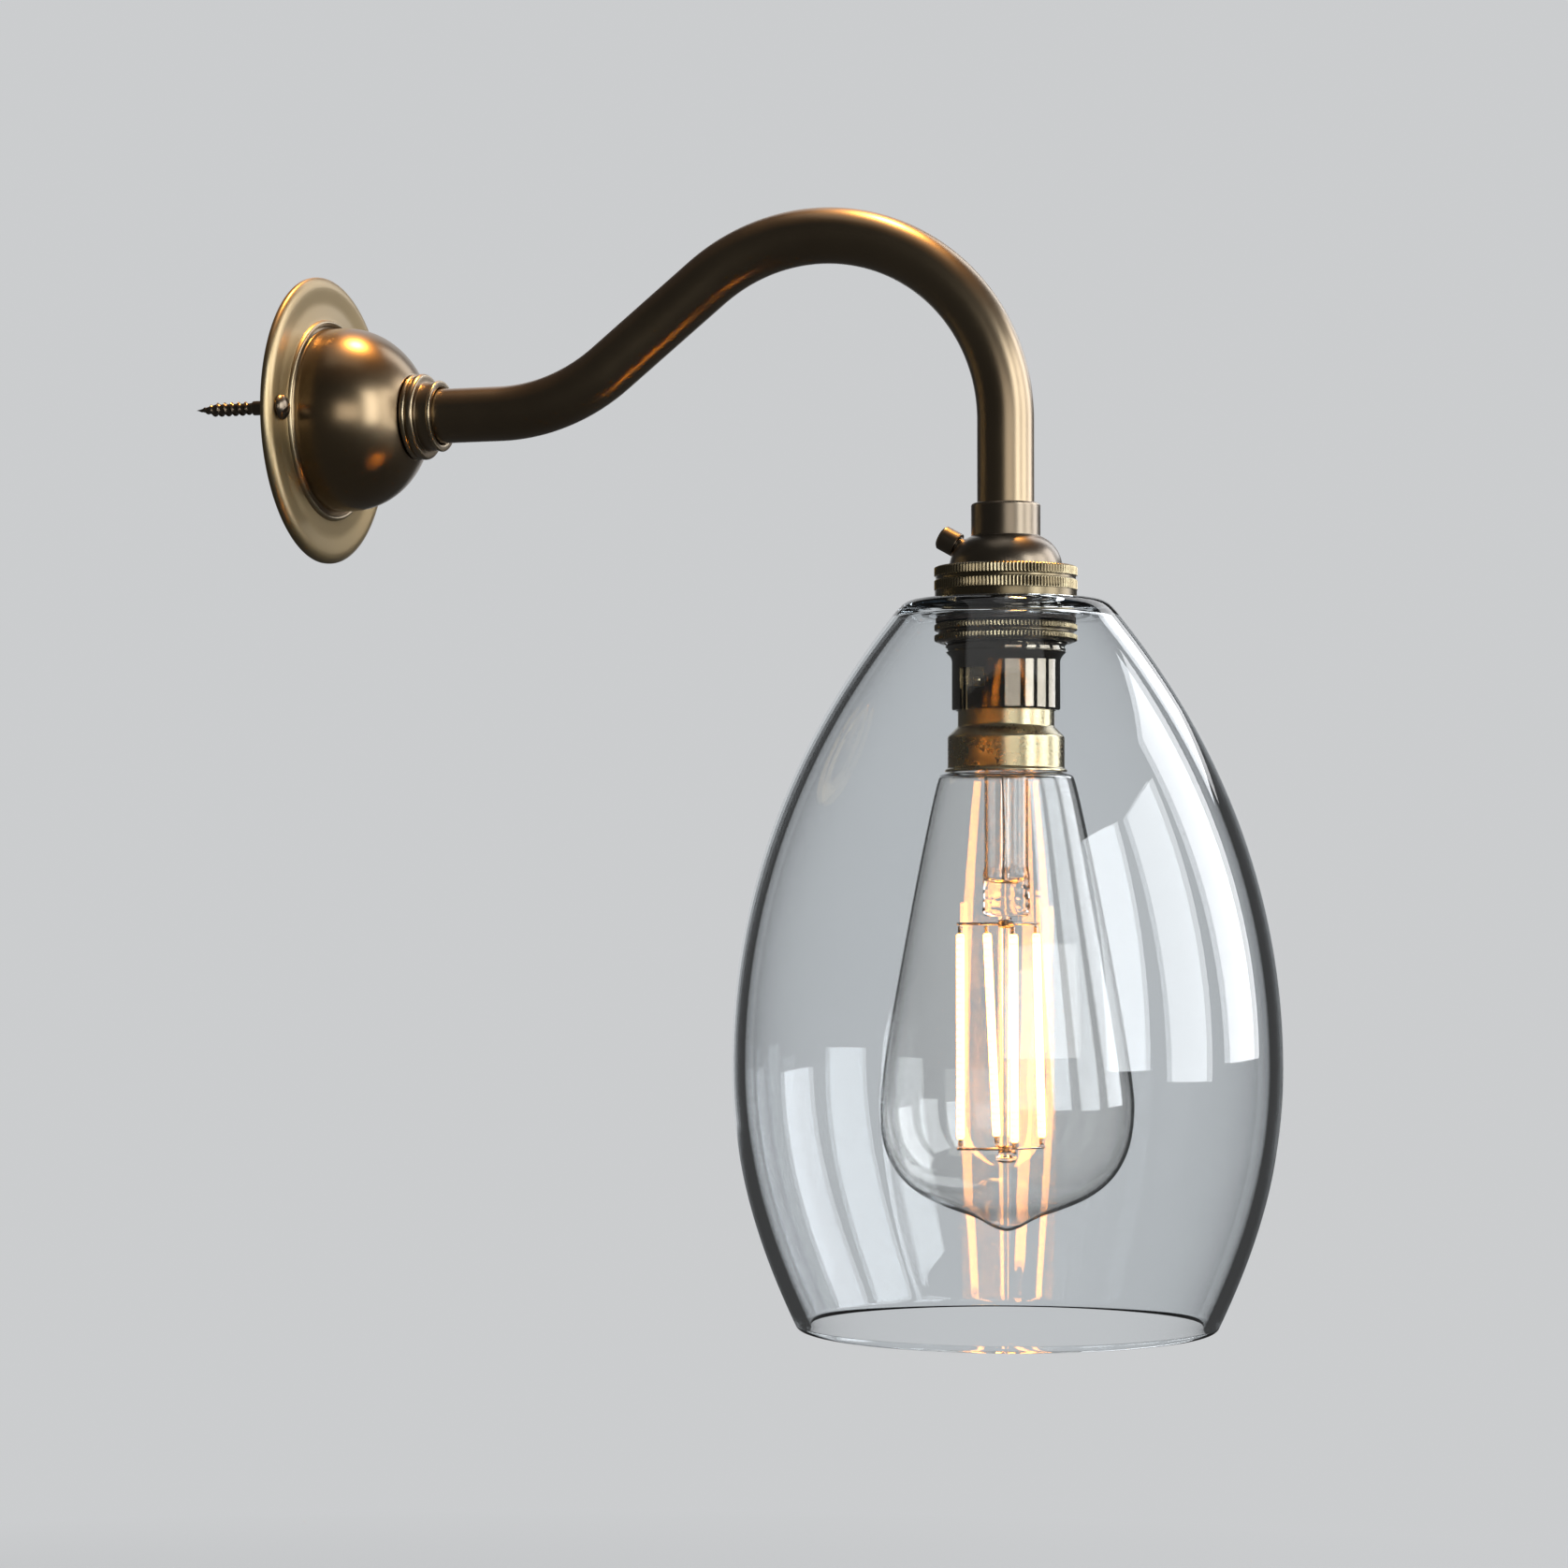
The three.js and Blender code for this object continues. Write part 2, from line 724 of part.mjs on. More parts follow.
function makeHolderCap() {
  const outerDome = capDomePoints(capDomeRadius, capNeckRadius, 5);
  const innerDome = capDomePoints(capDomeRadius - capWall, capStopRadius, 3).reverse();
  const profile = [
    [capInnerRadius, capFlangeFoot],
    [capFlangeRadius, capFlangeFoot],
    [capFlangeRadius, capFlangeTop],
    [capDomeRingRadius + capDomeRadius, capFlangeTop],
    ...outerDome,
    [capNeckRadius, capNeckTop - capNeckRound],
    [capNeckRadius - capNeckRound, capNeckTop],
    [boreRadius, capNeckTop],
    [boreRadius, capStopTop],
    [capStopRadius, capStopTop],
    ...innerDome,
  ];
  const hole = barBetween(
    alongEarth(-earthShankDepth),
    alongEarth(earthHeadLength),
    earthShankRadius + screwClearance,
    smallSides + 2,
  );
  return cut(turned(profile, turnedSides), hole);
}

// Hollow post riveted through the dome; its cross hole takes the earth core
function makeEarthPost() {
  const headEnd = earthHeadStart + earthHeadLength;
  const profile = [
    [0, -earthShankDepth],
    [earthShankRadius, -earthShankDepth],
    [earthShankRadius, earthHeadStart],
    [earthHeadRadius, earthHeadStart],
    [earthHeadRadius, headEnd - earthHeadBevel],
    [earthHeadRadius - earthHeadBevel, headEnd],
    [earthBoreRadius, headEnd],
    [earthBoreRadius, -earthBoreDepth],
    [0, -earthBoreDepth],
  ];
  const crossHole = barBetween(
    new THREE.Vector3(-earthHeadRadius - cutOverrun, 0, -earthCrossHoleDepth),
    new THREE.Vector3(earthHeadRadius + cutOverrun, 0, -earthCrossHoleDepth),
    coreRadius + screwClearance,
    smallSides,
  );
  return onEarthAxis(cut(turned(profile, smallSides + 4), crossHole));
}

function makeEarthScrew() {
  const radius = earthBoreRadius - screwClearance;
  const head = earthHeadStart + earthHeadLength - earthScrewBelow;
  const body = upright(discShape(radius, smallSides), -earthBoreDepth + seatGap, head);
  const slot = new THREE.BoxGeometry(
    2 * radius + cutOverrun,
    screwSlotWidth,
    2 * screwSlotDepth,
  ).translate(0, 0, head);
  return onEarthAxis(cut(body, slot));
}

function makeCapRing() {
  const groove = ringRadius - capRingGrooveDepth;
  const rowTwoFoot = capRingFoot + capRingBand;
  const rowTwoTop = rowTwoFoot + capRingRow;
  const rowOneFoot = rowTwoTop + capRingGroove;
  const recess = ringRadius - capRingRecessWall;
  return knurledRing(
    [
      [ringBore, capRingFoot, false],
      [ringRadius, capRingFoot, false],
      [ringRadius, rowTwoFoot, true],
      [ringRadius, rowTwoTop - ringBevel / 2, true],
      [groove, rowTwoTop, false],
      [groove, rowOneFoot, false],
      [ringRadius, rowOneFoot + ringBevel / 2, true],
      [ringRadius, capRingTop - ringBevel, true],
      [ringRadius - ringBevel - knurlDepth, capRingTop, false],
      [capDomeRingRadius + capDomeRadius + seatGap, capRingTop, false],
      [capDomeRingRadius + capDomeRadius + seatGap, capRingTop - capRingLip, false],
      [recess, capRingTop - capRingLip, false],
      [recess, barrelTop, false],
      [ringBore, barrelTop, false],
    ],
    knurlTeeth,
    knurlDepth,
  );
}

// Plan shape of a slot's level leg, which spans a stretch of the skirt's circle
function slotLeg(fromAngle, toAngle) {
  const inner = skirtBore - cutOverrun;
  const outer = skirtRadius + cutOverrun;
  const outline = [
    ...arcPoints(0, 0, outer, outer, fromAngle, toAngle, 5),
    ...arcPoints(0, 0, inner, inner, toAngle, fromAngle, 5),
  ];
  const shape = new THREE.Shape(outline.map(([x, y]) => new THREE.Vector2(x, y)));
  return upright(shape, slotFoot, slotTop);
}

function slotEntry(angle) {
  const length = skirtWall + 2 * cutOverrun;
  const foot = skirtFoot - cutOverrun;
  return new THREE.BoxGeometry(length, entryWidth, slotTop - foot)
    .translate((skirtBore + skirtRadius) / 2, 0, (slotTop + foot) / 2)
    .rotateZ(radians(angle));
}

function makeBarrel() {
  const profile = [
    [skirtBore, skirtFoot],
    [skirtRadius - skirtLipRound, skirtFoot],
    [skirtRadius, skirtFoot + skirtLipRound],
    ...sweepPoints(
      [skirtRadius, threadFoot - flareLength],
      90,
      flareLength / 2,
      [threadRadius, threadFoot],
      45,
      flareLength / 2,
      3,
    ),
    [threadRadius, barrelTop],
    [barrelBore, barrelTop],
    [barrelBore, blockLedge],
    [skirtBore, blockLedge],
  ];
  const halfEntry = (Math.asin(entryWidth / 2 / skirtRadius) * 180) / Math.PI;
  const cuts = [0, 180].flatMap((turn) => {
    const entryAngle = turn + pinLockedAngle - unlockAngle;
    return [
      slotLeg(entryAngle - halfEntry, turn + pinLockedAngle + slotCloseAngle),
      slotEntry(entryAngle),
    ];
  });
  return cut(turned(profile, turnedSides + 4), ...cuts);
}

const contactSides = [contactAngle, contactAngle + 180];
const terminalHoleAngles = contactSides.map((angle) => angle - terminalSpreadAngle);
const terminalScrewAngles = contactSides.map((angle) => angle + terminalSpreadAngle);

function makeContactBlock() {
  const body = upright(
    discShape(barrelBore - seatGap, turnedSides),
    insulatorFoot,
    insulatorTop,
  );
  const tools = contactSides.flatMap((angle, side) => [
    upright(
      discShape(plungerShankRadius + screwClearance, smallSides + 2),
      insulatorFoot - cutOverrun,
      plungerBoreTop,
    ).translate(...polar(angle, plungerOffset, 0).toArray()),
    upright(
      discShape(coreRadius + screwClearance, smallSides),
      insulatorTop - terminalHoleDepth,
      insulatorTop + cutOverrun,
    ).translate(...polar(terminalHoleAngles[side], terminalRadius, 0).toArray()),
    upright(
      discShape(terminalScrewRadius / 2 + screwClearance, smallSides),
      insulatorTop - terminalScrewDepth - seatGap,
      insulatorTop + cutOverrun,
    ).translate(...polar(terminalScrewAngles[side], terminalRadius, 0).toArray()),
  ]);
  return cut(body, ...tools);
}

function makeTerminalScrew() {
  const seat = insulatorTop + seatGap;
  const body = turned(
    [
      [0, insulatorTop - terminalScrewDepth],
      [terminalScrewRadius / 2, insulatorTop - terminalScrewDepth],
      [terminalScrewRadius / 2, seat],
      [terminalScrewRadius, seat],
      [terminalScrewRadius, seat + terminalScrewRise],
      [0, seat + terminalScrewRise],
    ],
    smallSides,
  );
  const slot = new THREE.BoxGeometry(
    2 * terminalScrewRadius + cutOverrun,
    screwSlotWidth,
    terminalScrewRise,
  ).translate(0, 0, seat + terminalScrewRise);
  return cut(body, slot);
}

function makePlunger() {
  return turned(
    [
      [0, plungerTip],
      [plungerTipRadius - plungerTipBevel, plungerTip],
      [plungerTipRadius, plungerTip + plungerTipBevel],
      [plungerTipRadius, plungerShoulder],
      [plungerShankRadius, plungerShoulder],
      [plungerShankRadius, plungerHead],
      [0, plungerHead],
    ],
    smallSides,
  );
}

// Compression spring: its wire follows a helix between the plunger and the end of the bore
class Helix extends THREE.Curve {
  constructor(radius, foot, top, turns) {
    super();
    Object.assign(this, { radius, foot, top, turns });
  }
  getPoint(share, target = new THREE.Vector3()) {
    const angle = share * this.turns * fullTurn;
    return target.set(
      this.radius * Math.cos(angle),
      this.radius * Math.sin(angle),
      THREE.MathUtils.lerp(this.foot, this.top, share),
    );
  }
}

function makeSpring() {
  const margin = springWireRadius + seatGap;
  const coil = new Helix(
    plungerShankRadius - springWireRadius,
    plungerHead + margin,
    plungerBoreTop - margin,
    springTurns,
  );
  return tubeAlong(coil, springWireRadius, 0, 5, coil.getLength() / (8 * springTurns));
}

function makeHolderCore(coreAngle, holeAngle) {
  const from = polar(coreAngle, coreSpread, capStopTop - flexTail - seatGap);
  const drop = from.z - insulatorTop;
  const mouth = polar(holeAngle, terminalRadius, insulatorTop + seatGap);
  const path = new THREE.CurvePath();
  path.add(
    new THREE.CubicBezierCurve3(
      from,
      from.clone().add(new THREE.Vector3(0, 0, -drop / 2)),
      mouth.clone().add(new THREE.Vector3(0, 0, drop / 2)),
      mouth,
    ),
  );
  path.add(
    new THREE.LineCurve3(
      mouth,
      mouth.clone().add(new THREE.Vector3(0, 0, seatGap - terminalHoleDepth)),
    ),
  );
  return tubeAlong(path, coreRadius, 0, 6, coreStep);
}

// The earth core turns towards the wall and enters the post's cross hole from one side
function makeHolderEarthCore(coreAngle) {
  const from = polar(coreAngle, coreSpread, capStopTop - flexTail - seatGap);
  const hole = alongEarth(-earthCrossHoleDepth);
  const sideways = earthShankRadius + coreGrip;
  const bend = capDomeRadius / 3;
  const mouth = hole.clone().add(new THREE.Vector3(-earthShankRadius - coreRadius, 0, 0));
  const path = new THREE.CurvePath();
  path.add(
    new THREE.CubicBezierCurve3(
      from,
      from.clone().add(new THREE.Vector3(0, 0, -bend)),
      mouth.clone().add(new THREE.Vector3(-sideways / 2, 0, 0)),
      mouth,
    ),
  );
  path.add(new THREE.LineCurve3(mouth, hole));
  return tubeAlong(path, coreRadius, 0, 6, coreStep);
}

// Glass shade and what clamps it
function shadeOutline(shoulderSteps, upperSteps, lowerSteps) {
  const shoulder = sweepPoints(
    [shoulderCrestRadius, shoulderCrest],
    0,
    (shoulderRadius - shoulderCrestRadius) / 2,
    [shoulderRadius, shoulderFoot],
    shadeLeaveAngle,
    shoulderCrest - shoulderFoot,
    shoulderSteps,
  ).slice(0, -1);
  const upper = sweepPoints(
    [shoulderRadius, shoulderFoot],
    shadeLeaveAngle,
    shadeLeavePull,
    [shadeWidestRadius, shadeWidest],
    -90,
    shadeUpperPull,
    upperSteps,
  );
  const lower = sweepPoints(
    [shadeWidestRadius, shadeWidest],
    -90,
    shadeLowerPull,
    [shadeRimRadius, shadeRim + shadeWall / 2],
    shadeRimAngle,
    shadeRimPull,
    lowerSteps,
  ).slice(1);
  return [...shoulder, ...upper, ...lower];
}

function makeShade() {
  const outline = shadeOutline(3, 8, 5);
  const inside = innerOutline(shadeOutline(3, 6, 4), shadeWall);
  const [rimRadius] = outline[outline.length - 1];
  const rimHalf = shadeWall / 2;
  const rim = arcPoints(rimRadius - rimHalf, shadeRim + rimHalf, rimHalf, rimHalf, 330, 210, 3);
  const neckFoot = shadeNeckTop - shadeNeckThickness;
  const underShoulder = inside.filter(([, height]) => height < neckFoot - seatGap);
  const profile = [
    [shadeHoleRadius, shadeNeckTop],
    [shadeHoleRadius, neckFoot],
    [shadeNeckFlat, neckFoot],
    ...underShoulder,
    ...rim.reverse(),
    ...outline.reverse(),
    [shadeNeckFlat, shadeNeckTop],
  ];
  return turned(profile, shadeSides);
}

function makeWasher(top, thickness) {
  const ring = discShape(washerRadius, turnedSides);
  ring.holes.push(discShape(ringBore, turnedSides));
  return upright(ring, top - thickness, top);
}

function makeShadeRing() {
  const grooveTop = shadeRingTop - shadeRingUpperFlange;
  const grooveFoot = grooveTop - shadeRingGroove;
  const foot = grooveFoot - shadeRingLowerFlange;
  return knurledRing(
    [
      [ringBore, foot, false],
      [ringRadius - shadeRingBevel, foot, false],
      [ringRadius, foot + shadeRingBevel, true],
      [ringRadius, grooveFoot - ringBevel, true],
      [ringRadius - shadeRingGrooveDepth, (grooveTop + grooveFoot) / 2, false],
      [ringRadius, grooveTop + ringBevel, true],
      [ringRadius, shadeRingTop - ringBevel, true],
      [ringRadius - ringBevel - knurlDepth, shadeRingTop, false],
      [ringBore, shadeRingTop, false],
    ],
    knurlTeeth,
    knurlDepth,
  );
}

// Lamp: cap, contacts, glass and light source
function makeLampCap() {
  const inner = lampCapRadius - lampCapSheet;
  const collarInner = lampCollarRadius - lampCapSheet;
  const lipFoot = lampCollarFoot - lampLipLength;
  return turned(
    [
      [collarInner, lipFoot],
      [lampLipRadius, lipFoot],
      [lampLipRadius, lampCollarFoot],
      [lampCollarRadius, lampCollarFoot],
      [lampCollarRadius, lampConeFoot],
      [lampCapRadius, lampConeTop],
      ...arcPoints(
        lampCapRadius - lampCapTopRound,
        lampCapTop - lampCapTopRound,
        lampCapTopRound,
        lampCapTopRound,
        0,
        90,
        2,
      ),
      [lampCapMouthRadius, lampCapTop],
      [lampCapMouthRadius, lampCapTop - lampCapSheet],
      [inner, lampCapTop - lampCapTopRound],
      [inner, lampConeTop - lampCapSheet / 2],
      [collarInner, lampConeFoot - lampCapSheet / 2],
    ],
    turnedSides,
  );
}

function makeLampInsulator() {
  const flangeRadius = lampCapRadius - lampCapSheet - lampInnerClearance;
  const foot = lampInsulatorTop - lampInsulatorThickness;
  const flangeTop = foot + lampInsulatorFlange;
  const button = lampCapMouthRadius - seatGap;
  return turned(
    [
      [0, foot],
      [flangeRadius, foot],
      [flangeRadius, flangeTop],
      [button, flangeTop],
      [button, lampInsulatorTop - padThickness],
      [button - padThickness, lampInsulatorTop],
      [0, lampInsulatorTop],
    ],
    smallSides + 4,
  );
}

function makeContactPad() {
  const foot = lampInsulatorTop + seatGap;
  return turned(
    [
      [0, foot],
      [padRadius, foot],
      [padRadius / 2, foot + padThickness],
      [0, foot + padThickness],
    ],
    smallSides,
  );
}

function makeBayonetPin(turn) {
  const angle = pinLockedAngle + turn;
  return barBetween(
    polar(angle, lampCapRadius + seatGap, pinHeight),
    polar(angle, pinReach, pinHeight),
    pinRadius,
    smallSides,
  );
}

function makeBulbGlass() {
  const neckFoot = lampCollarFoot - lampLipLength;
  const upper = sweepPoints(
    [bulbShoulderRadius, bulbShoulder],
    bulbLeaveAngle,
    bulbLeavePull,
    [bulbWidestRadius, bulbWidest],
    -90,
    bulbUpperPull,
    4,
  );
  const lower = sweepPoints(
    [bulbWidestRadius, bulbWidest],
    -90,
    bulbLowerPull,
    [bulbTipShoulderRadius, bulbTipShoulder],
    bulbTipAngle,
    bulbTipPull,
    5,
  ).slice(1);
  const outline = [
    [bulbNeckRadius, bulbNeckTop],
    [bulbNeckRadius, neckFoot],
    [lampLipRadius, neckFoot - seatGap - bulbWall / 2],
    ...upper,
    ...lower,
  ];
  const inside = innerOutline(outline, bulbWall);
  return turned(
    [
      [0, bulbTip],
      ...outline.reverse(),
      ...inside,
      [0, bulbTipShoulder + bulbWall],
    ],
    bulbSides,
  );
}

function makeStem() {
  const inner = stemRadius - stemGlass;
  return turned(
    [
      [0, stemFoot],
      [stemPressRadius - stemGlass, stemFoot],
      [stemPressRadius, stemFoot + stemGlass],
      [stemPressRadius, stemPressTop],
      [stemRadius, stemPressTop + stemGlass],
      [stemRadius, stemFlareFoot],
      [(stemRadius + stemFlareRadius) / 2, stemFlareTop - stemGlass - stemGlass / 2],
      [stemFlareRadius, stemFlareTop - stemGlass],
      [stemFlareRadius, stemFlareTop],
      [(stemRadius + stemFlareRadius) / 2, stemFlareTop - stemGlass / 2],
      [inner, stemFlareFoot],
      [inner, stemFloor],
      [0, stemFloor],
    ],
    smallSides + 4,
  );
}

function makeExhaustTube() {
  const ring = discShape(exhaustRadius, smallSides);
  ring.holes.push(discShape(exhaustBore, smallSides));
  return upright(ring, stemFloor + seatGap, exhaustTop);
}

function makeLead(side) {
  return barBetween(
    new THREE.Vector3(side * leadOffset, 0, driverTop - driverThickness - seatGap),
    new THREE.Vector3(side * leadOffset, 0, stemFloor + seatGap),
    leadRadius,
    6,
  );
}

// A hub on the glass rod with one wire out to each filament
function makeSupport(height, angles) {
  const hubInner = arborRadius + seatGap;
  const hubOuter = hubInner + supportHubWall;
  const hub = discShape(hubOuter, smallSides);
  hub.holes.push(discShape(hubInner, smallSides));
  const ring = upright(hub, height - supportHubHeight / 2, height + supportHubHeight / 2);
  const wires = angles.map((angle) =>
    barBetween(
      polar(angle, hubInner + supportHubWall / 2, height),
      polar(angle, filamentCircle + filamentRadius, height),
      supportWireRadius,
      6,
    ),
  );
  return joined(ring, ...wires);
}

function makeArbor() {
  return upright(discShape(arborRadius, smallSides), arborFoot, stemFoot - seatGap);
}

function makeButton() {
  const top = arborFoot - seatGap;
  return turned(
    [[0, top - buttonLength], ...arcPoints(0, top - buttonLength / 2, buttonRadius, buttonLength / 2, -60, 60, 3), [0, top]],
    smallSides,
  );
}

function makeFilament(topAngle, footAngle) {
  return barBetween(
    polar(topAngle, filamentCircle, filamentTop),
    polar(footAngle, filamentCircle, filamentFoot),
    filamentRadius,
    8,
  );
}

// The whole light
const light = new THREE.Group();

const wallSide = new THREE.Group();
wallSide.rotation.x = Math.PI / 2;
light.add(wallSide);
piece(wallSide, "wall_plate", makeWallPlate(), paleBrass);
["left", "right"].forEach((side, index) => {
  const screw = makeWallScrew(wallScrewSlotAngles[index]);
  piece(wallSide, `wall_screw_${side}`, screw, antiqueBrass).position.x =
    (index ? 1 : -1) * wallScrewOffset;
});
piece(wallSide, "arm_collar", makeCollar(), antiqueBrass);
piece(wallSide, "arm_lock_washer", makeLockWasher(), steel);
piece(wallSide, "arm_nut", makeArmNut(), darkBrass);
piece(wallSide, "terminal_block", makeTerminalBlock(), nylon);
["live", "neutral", "earth"].forEach((core, index) => {
  const place = [-blockWayPitch, blockWayPitch, 0][index];
  const material = [brownCore, blueCore, earthCore][index];
  piece(wallSide, `wall_core_${core}`, makeWallCore(coreAngles[index], place), material);
  piece(wallSide, `block_screw_${core}`, makeBlockScrew(), lampBrass).position.set(
    place,
    -blockDrop - coreGrip / 2,
    0,
  );
});

const swanNeck = tubeAlong(
  armPath(tubeTailFromWall, tubeEnd),
  tubeRadius,
  tubeRadius - tubeWall,
  tubeSides,
  tubeStep,
);
piece(light, "swan_neck_arm", swanNeck, antiqueBrass);
const flex = tubeAlong(
  armPath(tubeTailFromWall + flexInset, capStopTop - flexTail),
  flexRadius,
  0,
  6,
  flexStep,
);
piece(light, "arm_flex", flex, flexBlack);

const lampSide = new THREE.Group();
lampSide.position.y = -lampReach;
light.add(lampSide);
piece(lampSide, "holder_cap", makeHolderCap(), antiqueBrass);
piece(lampSide, "earth_post", makeEarthPost(), darkBrass);
piece(lampSide, "earth_screw", makeEarthScrew(), darkBrass);
piece(lampSide, "cap_ring", makeCapRing(), oliveBrass);
piece(lampSide, "holder_barrel", makeBarrel(), polishedBrass);
piece(lampSide, "contact_block", makeContactBlock(), porcelain);
["live", "neutral"].forEach((core, index) => {
  const material = [brownCore, blueCore][index];
  const contact = polar(contactSides[index], plungerOffset, 0);
  const screwPlace = polar(terminalScrewAngles[index], terminalRadius, 0);
  const holderCore = makeHolderCore([330, 210][index], terminalHoleAngles[index]);
  piece(lampSide, `holder_core_${core}`, holderCore, material);
  piece(lampSide, `terminal_screw_${core}`, makeTerminalScrew(), lampBrass).position.copy(screwPlace);
  piece(lampSide, `plunger_${core}`, makePlunger(), lampBrass).position.copy(contact);
  piece(lampSide, `plunger_spring_${core}`, makeSpring(), springSteel).position.copy(contact);
  piece(lampSide, `contact_pad_${core}`, makeContactPad(), solder).position.copy(contact);
});
piece(lampSide, "holder_core_earth", makeHolderEarthCore(90), earthCore);

piece(lampSide, "shade_washer_upper", makeWasher(upperWasherTop, upperWasherThickness), fibre);
piece(lampSide, "glass_shade", makeShade(), smokedGlass);
piece(lampSide, "shade_washer_lower", makeWasher(lowerWasherTop, lowerWasherThickness), fibre);
piece(lampSide, "shade_ring", makeShadeRing(), oliveBrass);

piece(lampSide, "bulb_cap", makeLampCap(), lampBrass);
piece(lampSide, "bulb_pin_left", makeBayonetPin(0), lampBrass);
piece(lampSide, "bulb_pin_right", makeBayonetPin(180), lampBrass);
piece(lampSide, "bulb_insulator", makeLampInsulator(), blackGlass);
const driver = upright(
  discShape(lampCapRadius - lampCapSheet - lampInnerClearance, smallSides + 4),
  driverTop - driverThickness,
  driverTop,
);
piece(lampSide, "bulb_driver", driver, boardGreen);
piece(lampSide, "bulb_glass", makeBulbGlass(), clearGlass);
piece(lampSide, "bulb_stem", makeStem(), clearGlass);
piece(lampSide, "bulb_exhaust_tube", makeExhaustTube(), clearGlass);
piece(lampSide, "bulb_lead_left", makeLead(-1), steel);
piece(lampSide, "bulb_lead_right", makeLead(1), steel);
piece(lampSide, "bulb_arbor", makeArbor(), clearGlass);
piece(lampSide, "bulb_button", makeButton(), clearGlass);
const upperSupport = makeSupport(filamentTop + seatGap + supportWireRadius, filamentTopAngles);
piece(lampSide, "bulb_support_upper", upperSupport, steel);
const lowerSupport = makeSupport(filamentFoot - seatGap - supportWireRadius, filamentFootAngles);
piece(lampSide, "bulb_support_lower", lowerSupport, steel);
filamentTopAngles.forEach((topAngle, index) => {
  const filament = makeFilament(topAngle, filamentFootAngles[index]);
  piece(lampSide, `bulb_filament_${index + 1}`, filament, glowing);
});

export default light;
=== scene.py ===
"""Dresses a swan-neck wall light with an open glass shade and a filament lamp.

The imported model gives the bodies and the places. This script makes the fine surfaces, the finishes,
the studio and the camera. Sizes are in millimetres and are turned into metres when a mesh is made.
"""

from __future__ import annotations

import logging
import math
from dataclasses import dataclass, field
from enum import Enum
from typing import Sequence

import bpy
import numpy as np
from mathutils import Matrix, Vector

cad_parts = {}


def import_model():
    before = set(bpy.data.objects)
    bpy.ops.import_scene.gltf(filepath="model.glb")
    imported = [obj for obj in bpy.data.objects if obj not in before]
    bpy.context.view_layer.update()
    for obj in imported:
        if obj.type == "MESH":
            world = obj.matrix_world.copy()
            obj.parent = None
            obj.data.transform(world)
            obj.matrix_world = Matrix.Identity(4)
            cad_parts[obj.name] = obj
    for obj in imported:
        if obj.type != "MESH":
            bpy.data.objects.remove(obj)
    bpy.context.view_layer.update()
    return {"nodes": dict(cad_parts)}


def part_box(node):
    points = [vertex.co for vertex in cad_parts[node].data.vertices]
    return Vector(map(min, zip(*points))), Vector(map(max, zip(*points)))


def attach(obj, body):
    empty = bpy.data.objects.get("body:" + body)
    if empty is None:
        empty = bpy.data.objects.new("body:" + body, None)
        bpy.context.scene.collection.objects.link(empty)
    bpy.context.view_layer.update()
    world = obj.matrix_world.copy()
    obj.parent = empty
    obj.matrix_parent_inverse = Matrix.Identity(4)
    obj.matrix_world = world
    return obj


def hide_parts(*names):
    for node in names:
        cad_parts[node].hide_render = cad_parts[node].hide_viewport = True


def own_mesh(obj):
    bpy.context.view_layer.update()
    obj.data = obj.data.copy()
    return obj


LOG = logging.getLogger("wall_light")
MM = 0.001
TURN = 2.0 * math.pi
GAP = 0.3
CREASE = 38.0
SOFT_CREASE = 60.0
GLASS_CREASE = 80.0
SLIGHT_TURN = 16.0
FULL_WEAR_RADIUS = 0.35
WEAR = "wear"
UP = (0, 0, 1)
SIDEWAYS = (1, 0, 0)

Colour = tuple[float, float, float]
Points = Sequence[Sequence[float]] | np.ndarray
Values = np.ndarray | float
Socket = bpy.types.NodeSocket


class Body(Enum):
    """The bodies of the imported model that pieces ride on."""

    FIXTURE = "fixture"
    BULB = "bulb"
    SHADE = "shade"
    RING = "ring"


class Slot(Enum):
    """The record's material slots."""

    PLATE = "plate_brass"
    ANTIQUE = "antique_brass"
    HOLDER = "holder_brass"
    SCREW = "screw_brass"
    KNURLED = "knurled_brass"
    POLISHED = "polished_brass"
    LAMP = "lamp_brass"
    STEEL = "steel"
    SOLDER = "solder"
    SHADE_GLASS = "shade_glass"
    LAMP_GLASS = "lamp_glass"
    BLACK_GLASS = "black_glass"
    PORCELAIN = "porcelain"
    NYLON = "nylon"
    FIBRE = "fibre"
    BOARD = "circuit_board"
    SHEATH = "flex_sheath"
    BROWN = "core_brown"
    BLUE = "core_blue"
    EARTH = "core_earth"
    FILAMENT = "filament"


KEPT_NODES = {
    Slot.STEEL: ("arm_lock_washer",),
    Slot.SCREW: (
        "arm_nut",
        "block_screw_live",
        "block_screw_neutral",
        "block_screw_earth",
        "terminal_screw_live",
        "terminal_screw_neutral",
    ),
    Slot.NYLON: ("terminal_block",),
    Slot.BROWN: ("wall_core_live", "holder_core_live"),
    Slot.BLUE: ("wall_core_neutral", "holder_core_neutral"),
    Slot.EARTH: ("wall_core_earth", "holder_core_earth"),
    Slot.SHEATH: ("arm_flex",),
    Slot.PORCELAIN: ("contact_block",),
    Slot.LAMP: ("plunger_live", "plunger_neutral"),
    Slot.BOARD: ("bulb_driver",),
}


@dataclass(frozen=True)
class Placement:
    """Where a piece's own frame lies in the model's frame.

    Args:
        turn: 3 by 3 matrix whose columns are the piece's own axes.
        shift: the piece's origin, in millimetres.
    """

    turn: np.ndarray
    shift: np.ndarray

    def apply(self, points: np.ndarray) -> np.ndarray:
        """Returns points in metres in the model's frame."""
        return (points @ self.turn.T + self.shift) * MM


